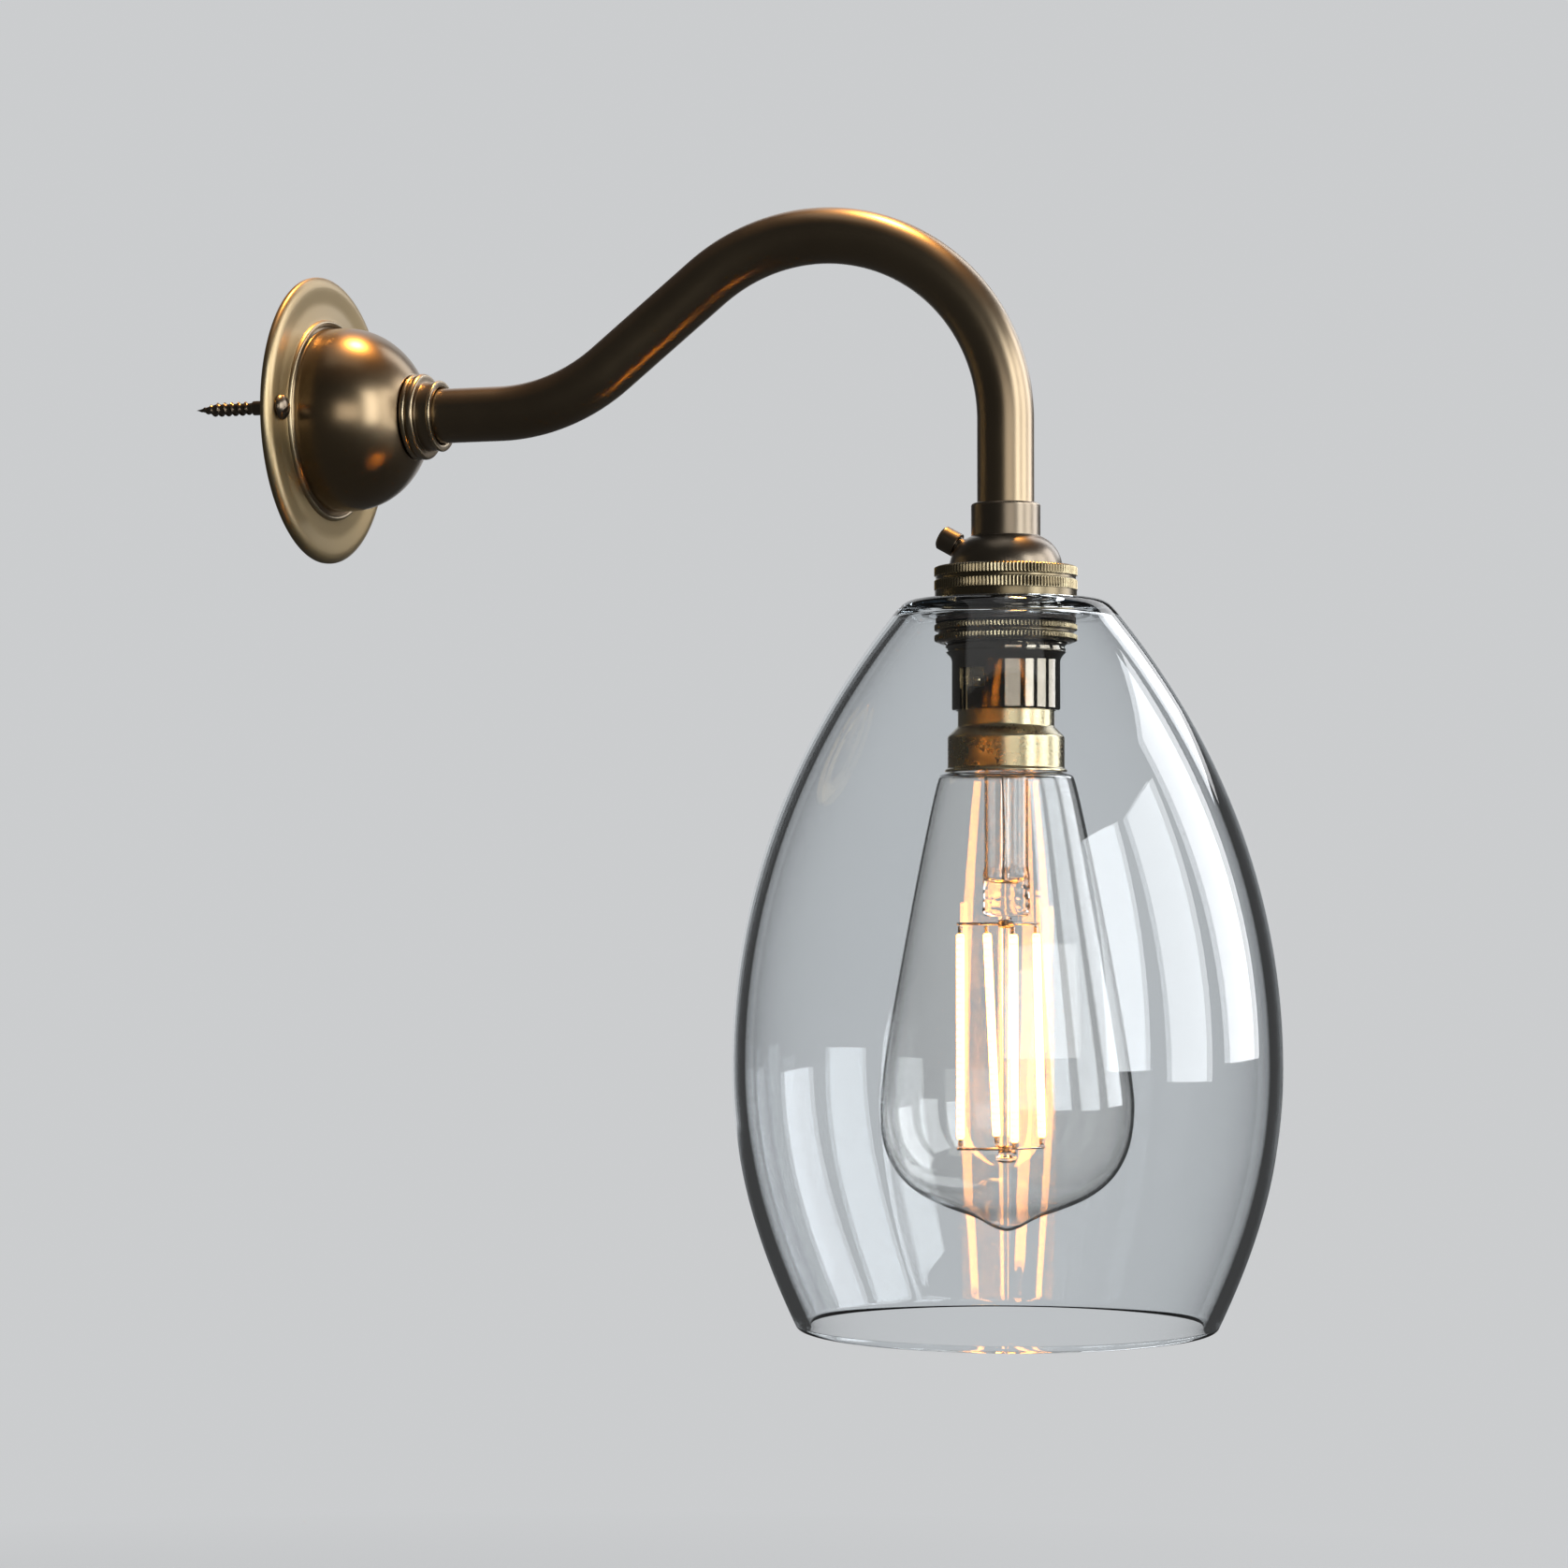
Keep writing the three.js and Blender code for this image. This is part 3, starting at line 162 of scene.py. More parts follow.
@dataclass
class Surface:
    """A mesh in the making, in a piece's own frame and in millimetres.

    Args:
        points: N by 3 places.
        quads: faces of four corners.
        wear: for each point, how far its edge is rubbed bright, from 0 to 1.
    """

    points: np.ndarray
    quads: np.ndarray
    wear: np.ndarray

    @staticmethod
    def joined(surfaces: Sequence[Surface]) -> Surface:
        """Returns surfaces as one mesh."""
        starts = np.cumsum([0] + [len(s.points) for s in surfaces[:-1]])
        return Surface(
            np.concatenate([s.points for s in surfaces]),
            np.concatenate([s.quads + start for s, start in zip(surfaces, starts)]),
            np.concatenate([s.wear for s in surfaces]),
        )

    def moved(self, x: float = 0.0, y: float = 0.0, z: float = 0.0) -> Surface:
        """Returns the surface at another place."""
        return Surface(self.points + np.array([x, y, z]), self.quads, self.wear)


def around(sides: int) -> np.ndarray:
    """Returns the angles of a circle's points, in radians."""
    return np.arange(sides) / sides * TURN


def unit(values: np.ndarray) -> np.ndarray:
    """Holds values between 0 and 1."""
    return np.clip(values, 0, 1)


def chain(*parts: Points | Sequence[float]) -> np.ndarray:
    """Joins points and runs of points into one line."""
    return np.concatenate([np.atleast_2d(np.asarray(part, float)) for part in parts])


def polar(radius: Values, angle: Values, height: Values = 0.0) -> np.ndarray:
    """Points round Z: the radius times the cosine and sine of an angle in radians, and the height."""
    radius, angle, height = np.broadcast_arrays(radius, angle, height)
    return np.stack([radius * np.cos(angle), radius * np.sin(angle), height], axis=-1)


def lattice(rows: np.ndarray, wrap_rows: bool = False, wear: np.ndarray | None = None) -> Surface:
    """Makes faces over a grid of points whose columns close on themselves.

    Args:
        rows: R by C by 3 points. Column steps turned towards row steps point outwards.
        wrap_rows: True if the last row joins the first.
        wear: R or R by C values of edge wear.

    Returns:
        The grid as a surface.
    """
    count, columns = rows.shape[:2]
    index = np.arange(count * columns).reshape(count, columns)
    above = np.roll(index, -1, axis=0)
    lower, upper = (index, above) if wrap_rows else (index[:-1], above[:-1])
    quads = np.stack([lower, np.roll(lower, -1, axis=1), np.roll(upper, -1, axis=1), upper], axis=-1)
    if wear is None:
        wear = np.zeros(count)
    if wear.ndim == 1:
        wear = np.repeat(wear[:, None], columns, axis=1)
    return Surface(rows.reshape(-1, 3), quads.reshape(-1, 4), wear.reshape(-1))


def arc(
    centre: Sequence[float], radii: float | Sequence[float], start: float, end: float, steps: int
) -> np.ndarray:
    """Points of an ellipse's arc: centre plus radii times the cosine and sine of an even run of angles.

    Args:
        centre: middle of the ellipse.
        radii: half widths along the two axes, or one radius.
        start: first angle in degrees.
        end: last angle in degrees.
        steps: number of stretches.

    Returns:
        The points, first to last.
    """
    angles = np.radians(np.linspace(start, end, steps + 1))
    circle = np.stack([np.cos(angles), np.sin(angles)], axis=1)
    return np.asarray(centre, float) + np.asarray(radii, float) * circle


def cubic(
    start: Sequence[float], leave: Sequence[float], arrive: Sequence[float], end: Sequence[float], steps: int
) -> np.ndarray:
    """Points of a cubic curve: the blend of its four control points by the cubic weights.

    Args:
        start: first point.
        leave: control point that sets the direction at the start.
        arrive: control point that sets the direction at the end.
        end: last point.
        steps: number of stretches.

    Returns:
        The points, first to last.
    """
    share = np.linspace(0.0, 1.0, steps + 1)[:, None]
    rest = 1.0 - share
    first, second, third, fourth = (np.asarray(p, float) for p in (start, leave, arrive, end))
    return rest**3 * first + 3 * rest**2 * share * second + 3 * rest * share**2 * third + share**3 * fourth


def curve(points: Points, pulls: Sequence[Points], steps: Sequence[int]) -> np.ndarray:
    """Points of a line of cubic stretches.

    Args:
        points: where the stretches meet, first to last.
        pulls: the two control points of each stretch.
        steps: number of parts of each stretch.

    Returns:
        The points, first to last.
    """
    stretches = zip(points, pulls, points[1:], steps)
    lines = [cubic(start, *pull, end, parts) for start, pull, end, parts in stretches]
    return chain(lines[0], *(line[1:] for line in lines[1:]))


def straight(start: Sequence[float], end: Sequence[float], steps: int) -> np.ndarray:
    """Points of a straight line."""
    share = np.linspace(0.0, 1.0, steps + 1)[:, None]
    return np.asarray(start, float) * (1 - share) + np.asarray(end, float) * share


def heading(point: Sequence[float], angle: float, pull: float) -> np.ndarray:
    """Returns the point that lies a pull away from another at an angle in degrees."""
    turn = math.radians(angle)
    return np.asarray(point, float) + pull * np.array([math.cos(turn), math.sin(turn)])


def moved_in(line: np.ndarray, wall: float) -> np.ndarray:
    """A line moved sideways: each point plus the wall times the line's direction, turned by 90 degrees."""
    along = np.gradient(line, axis=0)
    along /= np.linalg.norm(along, axis=1, keepdims=True)
    return line + wall * np.stack([along[:, 1], -along[:, 0]], axis=1)


def corner_turns(outline: np.ndarray, closed: bool) -> tuple[np.ndarray, np.ndarray]:
    """Turning angle at each point of an outline, and the mean length of the legs beside it."""
    back = outline - np.roll(outline, 1, axis=0)
    ahead = np.roll(outline, -1, axis=0) - outline
    cross = back[:, 0] * ahead[:, 1] - back[:, 1] * ahead[:, 0]
    turn = np.arctan2(cross, np.sum(back * ahead, axis=1))
    if not closed:
        turn[[0, -1]] = 0.0
    return turn, (np.linalg.norm(back, axis=1) + np.linalg.norm(ahead, axis=1)) / 2


def rounded(corners: Points, reach: float, closed: bool = True, steps: int = 4) -> np.ndarray:
    """Rounds the sharp corners of an outline.

    A corner gives way to the quadratic curve between the two points that lie a reach from it on its
    legs. The reach is held under half of the shorter leg, and slight turns stay as they are.

    Args:
        corners: the outline's points.
        reach: how far a rounding eats into a leg.
        closed: True if the last point joins the first.
        steps: stretches of one rounding.

    Returns:
        The outline with its roundings.
    """
    outline = np.asarray(corners, float)
    turn, _ = corner_turns(outline, closed)
    legs = [np.roll(outline, step, axis=0) - outline for step in (1, -1)]
    lengths = [np.maximum(np.linalg.norm(leg, axis=1), 1e-9) for leg in legs]
    eaten = np.minimum(reach, 0.45 * np.minimum(*lengths))
    eaten = np.where(np.abs(turn) > math.radians(SLIGHT_TURN), eaten, 0.0)
    first, last = (outline + leg * (eaten / length)[:, None] for leg, length in zip(legs, lengths))
    share = np.linspace(0.0, 1.0, steps + 1)[None, :, None]
    curve = (1 - share) ** 2 * first[:, None] + 2 * share * (1 - share) * outline[:, None]
    curve = (curve + share**2 * last[:, None]).reshape(-1, 2)
    gap = np.linalg.norm(curve - np.roll(curve, 1, axis=0), axis=1)
    if not closed:
        gap[0] = 1.0
    return curve[gap > 1e-6]


def even_rows(outline: np.ndarray, longest: float, closed: bool = True) -> np.ndarray:
    """Cuts each stretch of an outline into the least whole number of equal parts that keeps to a limit.

    Args:
        outline: the outline's points.
        longest: the limit.
        closed: True if the last point joins the first.

    Returns:
        The outline with the added points.
    """
    ends = np.roll(outline, -1, axis=0) if closed else outline[1:]
    starts = outline if closed else outline[:-1]
    parts = np.maximum(np.ceil(np.linalg.norm(ends - starts, axis=1) / longest), 1).astype(int)
    owner = np.repeat(np.arange(len(parts)), parts)
    first = np.cumsum(parts) - parts
    share = (np.arange(len(owner)) - first[owner]) / parts[owner]
    filled = starts[owner] + (ends[owner] - starts[owner]) * share[:, None]
    return filled if closed else np.concatenate([filled, outline[-1:]])


def smooth(corners: Points, reach: float, longest: float, closed: bool = True, steps: int = 4) -> np.ndarray:
    """Rounds an outline's corners and cuts its long stretches."""
    return even_rows(rounded(corners, reach, closed, steps), longest, closed)


def edge_wear(outline: np.ndarray, closed: bool = True) -> np.ndarray:
    """How far each point of an outline is rubbed bright: the radius of full wear over the edge's own."""
    turn, length = corner_turns(outline, closed)
    return unit(turn / np.maximum(length, 1e-6) * FULL_WEAR_RADIUS)


def turned(
    outline: np.ndarray,
    sides: int,
    closed: bool = True,
    ripple: Values = 0.0,
    wear: np.ndarray | None = None,
) -> Surface:
    """Turns an outline of radius and height about the Z axis.

    A point is its radius plus the ripple, times the cosine and sine of its side's angle, at its height.

    Args:
        outline: radius and height pairs, whose outer side runs upwards.
        sides: number of columns.
        closed: True for a ring-shaped body, False for one whose outline ends on the axis.
        ripple: rows by sides, added to the radius.
        wear: edge wear for each row or point, worked out from the outline if left out.

    Returns:
        The turned surface.
    """
    rows = polar(outline[:, :1] + ripple, around(sides), outline[:, 1:])
    return lattice(rows, closed, edge_wear(outline, closed) if wear is None else wear)


def spun(
    section: Points, reach: float, longest: float, sides: int, closed: bool = True, steps: int = 4
) -> Surface:
    """Turns a section about Z after rounding its corners and cutting its long stretches."""
    return turned(smooth(section, reach, longest, closed, steps), sides, closed)


def drill(radius: float, low: float, high: float) -> Surface:
    """A closed cylinder about Z that cuts a hole."""
    return turned(chain([0, low], [radius, low], [radius, high], [0, high]), 48, False)


def rings_along(path: np.ndarray, radius: Values, sides: int, level: Sequence[float]) -> np.ndarray:
    """Circles set square to a path: each point plus the radius times two directions square to the path.

    Args:
        path: P by 3 points.
        radius: one radius, or one for each point.
        sides: points of a circle.
        level: a direction that is never along the path, from which the circles are counted.

    Returns:
        P by sides by 3 points.
    """
    along = np.gradient(path, axis=0)
    along /= np.linalg.norm(along, axis=1, keepdims=True)
    across = np.asarray(level, float) - along * (along @ np.asarray(level, float))[:, None]
    across /= np.linalg.norm(across, axis=1, keepdims=True)
    angles = around(sides)[None, :, None]
    reach = np.broadcast_to(np.asarray(radius, float), (len(path),))[:, None, None]
    circle = across[:, None] * np.cos(angles) + np.cross(along, across)[:, None] * np.sin(angles)
    return path[:, None] + reach * circle


def rod(path: np.ndarray, radius: float, sides: int, level: Sequence[float], end_round: float) -> Surface:
    """A solid rod along a path, with its two ends drawn in to the axis over a small rounding."""
    rings = rings_along(path, radius, sides, level)
    drawn = np.array([0.0, 1.0 - min(end_round / radius, 0.5)])[:, None, None]
    head, tail = (path[end] + (rings[end] - path[end]) * drawn for end in (0, -1))
    steps = np.diff(path, axis=0)[[0, -1]]
    inset, outset = end_round * steps / np.linalg.norm(steps, axis=1, keepdims=True)
    rings[0] += inset
    rings[-1] -= outset
    return lattice(np.concatenate([head, rings, tail[::-1]]))


def box_surface(centre: Sequence[float], sizes: Sequence[float], turn: float) -> Surface:
    """A closed box about a centre, turned about Z by an angle in degrees."""
    half = np.asarray(sizes, float) / 2
    ring = np.array([[1, -1], [1, 1], [-1, 1], [-1, -1]], float) * half[:2]
    cos, sin = math.cos(math.radians(turn)), math.sin(math.radians(turn))
    ring = ring @ np.array([[cos, sin], [-sin, cos]])
    flat = np.repeat(ring[None], 4, axis=0)
    flat[[0, 3]] = 0.0
    height = np.repeat(np.array([-1, -1, 1, 1], float)[:, None, None] * half[2], 4, axis=1)
    return lattice(np.concatenate([flat, height], axis=2) + np.asarray(centre, float))


def linked(name: str, data: bpy.types.ID) -> bpy.types.Object:
    """Puts data into a new object of the scene."""
    made = bpy.data.objects.new(name, data)
    bpy.context.scene.collection.objects.link(made)
    return made


def make_object(
    name: str, surface: Surface, placement: Placement, crease: float = CREASE
) -> bpy.types.Object:
    """Puts a surface into a mesh object at the origin, with poles and seams welded.

    Args:
        name: the object's name.
        surface: the surface in its own frame.
        placement: where that frame lies.
        crease: edges that turn more than this angle in degrees shade sharp.

    Returns:
        The object, linked to the scene.
    """
    mesh = bpy.data.meshes.new(name)
    places = placement.apply(surface.points).astype(np.float32)
    _, first, same = np.unique(np.round(places, 7), axis=0, return_index=True, return_inverse=True)
    corners = same.reshape(-1)[surface.quads]
    keep = corners != np.roll(corners, -1, axis=1)
    whole = keep.sum(axis=1) >= 3
    corners, keep = corners[whole], keep[whole]
    totals = keep.sum(axis=1).astype(np.int32)
    loops = corners[keep].astype(np.int32)
    mesh.vertices.add(len(first))
    mesh.vertices.foreach_set("co", places[first].ravel())
    mesh.loops.add(len(loops))
    mesh.loops.foreach_set("vertex_index", loops)
    mesh.polygons.add(len(totals))
    mesh.polygons.foreach_set("loop_start", (np.cumsum(totals) - totals).astype(np.int32))
    mesh.polygons.foreach_set("use_smooth", np.ones(len(totals), dtype=bool))
    wear = mesh.attributes.new(WEAR, "FLOAT", "POINT")
    wear.data.foreach_set("value", surface.wear[first].astype(np.float32))
    mesh.update(calc_edges=True)
    mesh.validate()
    mesh.set_sharp_from_angle(angle=math.radians(crease))
    return linked(name, mesh)


def cut_away(body: bpy.types.Object, tools: Sequence[bpy.types.Object]) -> None:
    """Cuts closed tools out of a closed body for good, and removes the tools."""
    for tool in tools:
        modifier = body.modifiers.new(tool.name, "BOOLEAN")
        modifier.operation = "DIFFERENCE"
        modifier.solver = "EXACT"
        modifier.object = tool
    graph = bpy.context.evaluated_depsgraph_get()
    result = bpy.data.meshes.new_from_object(body.evaluated_get(graph))
    body.modifiers.clear()
    spent = body.data
    body.data = result
    bpy.data.meshes.remove(spent)
    result.name = body.name
    result.set_sharp_from_angle(angle=math.radians(CREASE))
    for tool in tools:
        bpy.data.objects.remove(tool)


class NodeSheet:
    """The nodes of a material, or of the world, in the making."""

    def __init__(self, owner: bpy.types.Material | bpy.types.World, kind: str = "Material") -> None:
        """Starts an empty tree with its output node."""
        owner.use_nodes = True
        self.owner = owner
        self.tree = owner.node_tree
        self.tree.nodes.clear()
        self.output = self.node(f"Output{kind}")

    def node(
        self, kind: str, sockets: dict[str | int, object] | None = None, **settings: object
    ) -> bpy.types.Node:
        """Adds a node, sets its properties, and feeds its sockets with plain values or links."""
        made = self.tree.nodes.new(f"ShaderNode{kind}")
        for key, value in settings.items():
            setattr(made, key, value)
        for key, value in (sockets or {}).items():
            if isinstance(value, Socket):
                self.tree.links.new(value, made.inputs[key])
            else:
                made.inputs[key].default_value = value
        return made

    def show(self, result: Socket, socket: str = "Surface") -> None:
        """Joins a shader to the output."""
        self.tree.links.new(result, self.output.inputs[socket])

    def maths(self, operation: str, first: object, second: object = 0.0, clamp: bool = False) -> Socket:
        """Adds a sum, product or other operation on two values."""
        return self.node("Math", {0: first, 1: second}, operation=operation, use_clamp=clamp).outputs[0]

    def scaled(
        self, value: object, low: float, high: float, to_low: float = 0.0, to_high: float = 1.0
    ) -> Socket:
        """Maps a value's range to another, and holds it there."""
        return self.node("MapRange", dict(enumerate((value, low, high, to_low, to_high)))).outputs[0]

    def blended(self, share: object, first: object, second: object) -> Socket:
        """Mixes two colours by a share."""
        sockets = {0: share, 6: as_rgba(first), 7: as_rgba(second)}
        return self.node("Mix", sockets, data_type="RGBA").outputs[2]

    def mixed(self, share: object, first: object, second: object) -> Socket:
        """Mixes two shaders by a share."""
        return self.node("MixShader", {0: share, 1: first, 2: second}).outputs[0]

    def place(self, centre: Sequence[float] = (0.0, 0.0, 0.0)) -> Socket:
        """The place on the object, counted from a centre in metres."""
        spot = self.node("TexCoord").outputs["Object"]
        return self.node("Mapping", {"Vector": spot, "Location": tuple(-c for c in centre)}).outputs[0]

    def noise(self, place: Socket, scale: float, detail: float) -> Socket:
        """A soft random value at a place."""
        return self.node("TexNoise", {"Vector": place, "Scale": scale, "Detail": detail}).outputs[0]

    def turned_place(self, place: Socket, axis: int) -> tuple[Socket, Socket]:
        """A place seen from an axis, for marks that run round.

        Args:
            place: the place, counted from a point on the axis.
            axis: the axis, 0 for X to 2 for Z.

        Returns:
            The distance from the axis, and a vector of it, the height and a little of the direction.
        """
        parts = self.node("SeparateXYZ", {0: place}).outputs
        flat = [parts[i] for i in range(3) if i != axis]
        radius = self.maths("SQRT", self.maths("ADD", *(self.maths("MULTIPLY", p, p) for p in flat)))
        little = self.maths("MULTIPLY", flat[0], 0.02)
        return radius, self.node("CombineXYZ", {0: radius, 1: parts[axis], 2: little}).outputs[0]

    def bump(self, height: Socket, distance: float) -> Socket:
        """A normal from a height."""
        return self.node("Bump", {"Distance": distance, "Height": height}).outputs[0]

    def seen(self) -> Socket:
        """1 where a ray shows what it meets: straight to the camera, mirrored or through glass."""
        rays = self.node("LightPath").outputs
        open_view = self.maths("MAXIMUM", rays["Is Camera Ray"], rays["Is Glossy Ray"])
        return self.maths("MAXIMUM", open_view, rays["Is Transmission Ray"])

    def principled(self, **sockets: object) -> bpy.types.Node:
        """Adds the shader, feeds its sockets by name and joins it to the output."""
        made = self.node("BsdfPrincipled", {name.replace("_", " "): v for name, v in sockets.items()})
        self.show(made.outputs[0])
        return made


def as_rgba(colour: object) -> object:
    """Gives a colour its fourth part, and leaves a socket as it is."""
    return colour if isinstance(colour, Socket) else (*colour, 1.0)


@dataclass(frozen=True)
class Finish:
    """What every finish has.

    Args:
        name: the material's name.
    """

    name: str

    def material(self) -> bpy.types.Material:
        """Makes the node material."""
        sheet = NodeSheet(bpy.data.materials.new(self.name))
        self.lay_out(sheet)
        return sheet.owner

    def lay_out(self, sheet: NodeSheet) -> None:
        """Adds the finish's nodes."""
        raise NotImplementedError


@dataclass(frozen=True)
class BrassFinish(Finish):
    """Aged brass: a dark patina that thins in patches and is rubbed bright on edges.

    Args:
        bright: colour of rubbed metal.
        patina: colour of the main surface.
        deep: colour of the darkest patches.
        roughness: roughness of the main surface.
        spread: how far the roughness wanders.
        centre: a point on the axis that the marks of turning run round, in metres.
        axis: that axis, 0 for X to 2 for Z.
        marks: depth of the turning marks in metres.
        coat: weight of the clear lacquer.
        wear_gain: how strongly edges are rubbed.
        brushed: how much the fine turning marks stretch highlights across them.
        pale: painted lighter colour of the main surface far from the axis, a lit copy of the same brass that
            stands in for the brighter reflection there.
        painted_light_from: distance from the axis where that colour starts, in metres.
        rough_far: roughness added there.
        scales: waves in a metre of the clouds, the mottle, the grain and the lines of turning.
    """

    bright: Colour
    patina: Colour
    deep: Colour
    roughness: float = 0.3
    spread: float = 0.06
    centre: Colour = (0.0, 0.0, 0.0)
    axis: int = 2
    marks: float = 6e-7
    coat: float = 1.0
    wear_gain: float = 0.7
    brushed: float = 0.0
    pale: Colour | None = None
    painted_light_from: float = 0.0
    rough_far: float = 0.0
    scales: tuple[float, ...] = (22.0, 160.0, 1500.0, 2600.0)

    def lay_out(self, sheet: NodeSheet) -> None:
        """Adds clouds and mottle to the patina, wear to the edges and fine lines round the axis."""
        place = sheet.place(self.centre)
        cloud, mottle, fine = (sheet.noise(place, scale, 2.0) for scale in self.scales[:3])
        reach, around_axis = sheet.turned_place(place, self.axis)
        patches = sheet.scaled(sheet.maths("ADD", cloud, sheet.maths("MULTIPLY", mottle, 0.12)), 0.38, 0.72)
        edge = sheet.node("Attribute", attribute_name=WEAR).outputs["Fac"]
        rubbed = sheet.maths("MULTIPLY", edge, sheet.scaled(mottle, 0.3, 0.7, 0.55, 1.3))
        worn = sheet.scaled(rubbed, 0.08, 0.75, 0.0, self.wear_gain)
        ground = sheet.blended(patches, self.deep, self.patina)
        wander = sheet.maths("ADD", mottle, sheet.maths("MULTIPLY", fine, 0.4))
        wander = sheet.scaled(wander, 0.3, 1.1, self.roughness - self.spread, self.roughness + self.spread)
        roughness = sheet.maths("SUBTRACT", wander, sheet.maths("MULTIPLY", worn, 0.08), clamp=True)
        # Painted light: far from the axis the ground turns to the pale colour, a lit copy of the same brass
        # standing in for a brighter reflection, and the roughness rises there.
        if self.pale:
            far = sheet.scaled(reach, self.painted_light_from - MM, self.painted_light_from + MM)
            ground = sheet.blended(far, ground, self.pale)
            roughness = sheet.maths("ADD", roughness, sheet.maths("MULTIPLY", far, self.rough_far))
        lines = sheet.noise(around_axis, self.scales[3], 2.0)
        shader = sheet.principled(
            Base_Color=sheet.blended(worn, ground, self.bright),
            Metallic=1.0,
            Roughness=roughness,
            Normal=sheet.bump(sheet.maths("ADD", lines, sheet.maths("MULTIPLY", fine, 0.3)), self.marks),
            Coat_Weight=self.coat,
            Coat_Roughness=self.roughness,
        )
        if self.brushed:
            along = tuple(float(i == self.axis) for i in range(3))
            tangent = sheet.node("VectorMath", {0: place, 1: along}, operation="CROSS_PRODUCT")
            shader.inputs["Anisotropic"].default_value = self.brushed
            shader.inputs["Anisotropic Rotation"].default_value = 0.25
            sheet.tree.links.new(tangent.outputs[0], shader.inputs["Tangent"])


@dataclass(frozen=True)
class GlassFinish(Finish):
    """Clear blown glass with a faint waviness.

    Args:
        tint: colour of what passes through.
        ripple: depth of the waves in metres.
        ripple_scale: waves in a metre.
        density: how strongly thick glass darkens, in parts of a metre.
        ior: index of refraction.
    """

    tint: Colour
    ripple: float
    ripple_scale: float
    density: float = 0.0
    ior: float = 1.47

    def lay_out(self, sheet: NodeSheet) -> None:
        """Adds the waves, a slight change of tint and what the thickness takes away."""
        place = sheet.place()
        drawn = sheet.node("Mapping", {"Vector": place, "Scale": (1.0, 1.0, 0.45)}).outputs[0]
        shade = sheet.scaled(sheet.noise(place, 2.0 * self.ripple_scale, 2.0), 0.3, 0.7)
        sheet.principled(
            Base_Color=sheet.blended(shade, self.tint, tuple(0.985 * t for t in self.tint)),
            Roughness=0.0,
            IOR=self.ior,
            Transmission_Weight=1.0,
            Normal=sheet.bump(sheet.noise(drawn, self.ripple_scale, 1.0), self.ripple),
        )
        if self.density:
            sockets = {"Color": as_rgba(self.tint), "Density": self.density}
            sheet.show(sheet.node("VolumeAbsorption", sockets).outputs[0], "Volume")


@dataclass(frozen=True)
class PlainFinish(Finish):
    """Plastic, porcelain, fibre or bright metal with a fine mottle.

    Args:
        colour: main colour.
        other: colour of the mottle.
        roughness: main roughness.
        metallic: 1 for a metal.
        coat: weight of a glaze.
        scale: spots in a metre.
        grain: depth of the grain in metres.
    """

    colour: Colour
    other: Colour
    roughness: float
    metallic: float = 0.0
    coat: float = 0.0
    scale: float = 400.0
    grain: float = 5e-6

    def lay_out(self, sheet: NodeSheet) -> None:
        """Adds the mottle and the grain."""
        place = sheet.place()
        mottle = sheet.noise(place, self.scale, 4.0)
        fine = sheet.noise(place, 5.0 * self.scale, 2.0)
        sheet.principled(
            Base_Color=sheet.blended(sheet.scaled(mottle, 0.35, 0.65), self.colour, self.other),
            Metallic=self.metallic,
            Roughness=sheet.scaled(fine, 0.3, 0.7, self.roughness - 0.05, self.roughness + 0.05),
            Normal=sheet.bump(sheet.maths("ADD", mottle, fine), self.grain),
            Coat_Weight=self.coat,
        )


@dataclass(frozen=True)
class GlowFinish(Finish):
    """Phosphor-coated light source: a row of chips glows through the coating.

    Args:
        coating: colour of the coating itself.
        between: light between two chips.
        over: light over a chip.
        pitch: distance between chips in metres.
    """

    coating: Colour
    between: Colour
    over: Colour
    pitch: float

    def lay_out(self, sheet: NodeSheet) -> None:
        """Adds the glow, a sine along the height with some noise."""
        place = sheet.place()
        height = sheet.node("SeparateXYZ", {0: place}).outputs[2]
        wave = sheet.maths("SINE", sheet.maths("MULTIPLY", height, TURN / self.pitch))
        chips = sheet.scaled(sheet.maths("ADD", wave, sheet.noise(place, 900.0, 3.0)), -0.5, 1.5)
        sheet.principled(
            Base_Color=as_rgba(self.coating),
            Roughness=0.6,
            Emission_Color=sheet.blended(chips, self.between, self.over),
            Emission_Strength=1.0,
        )


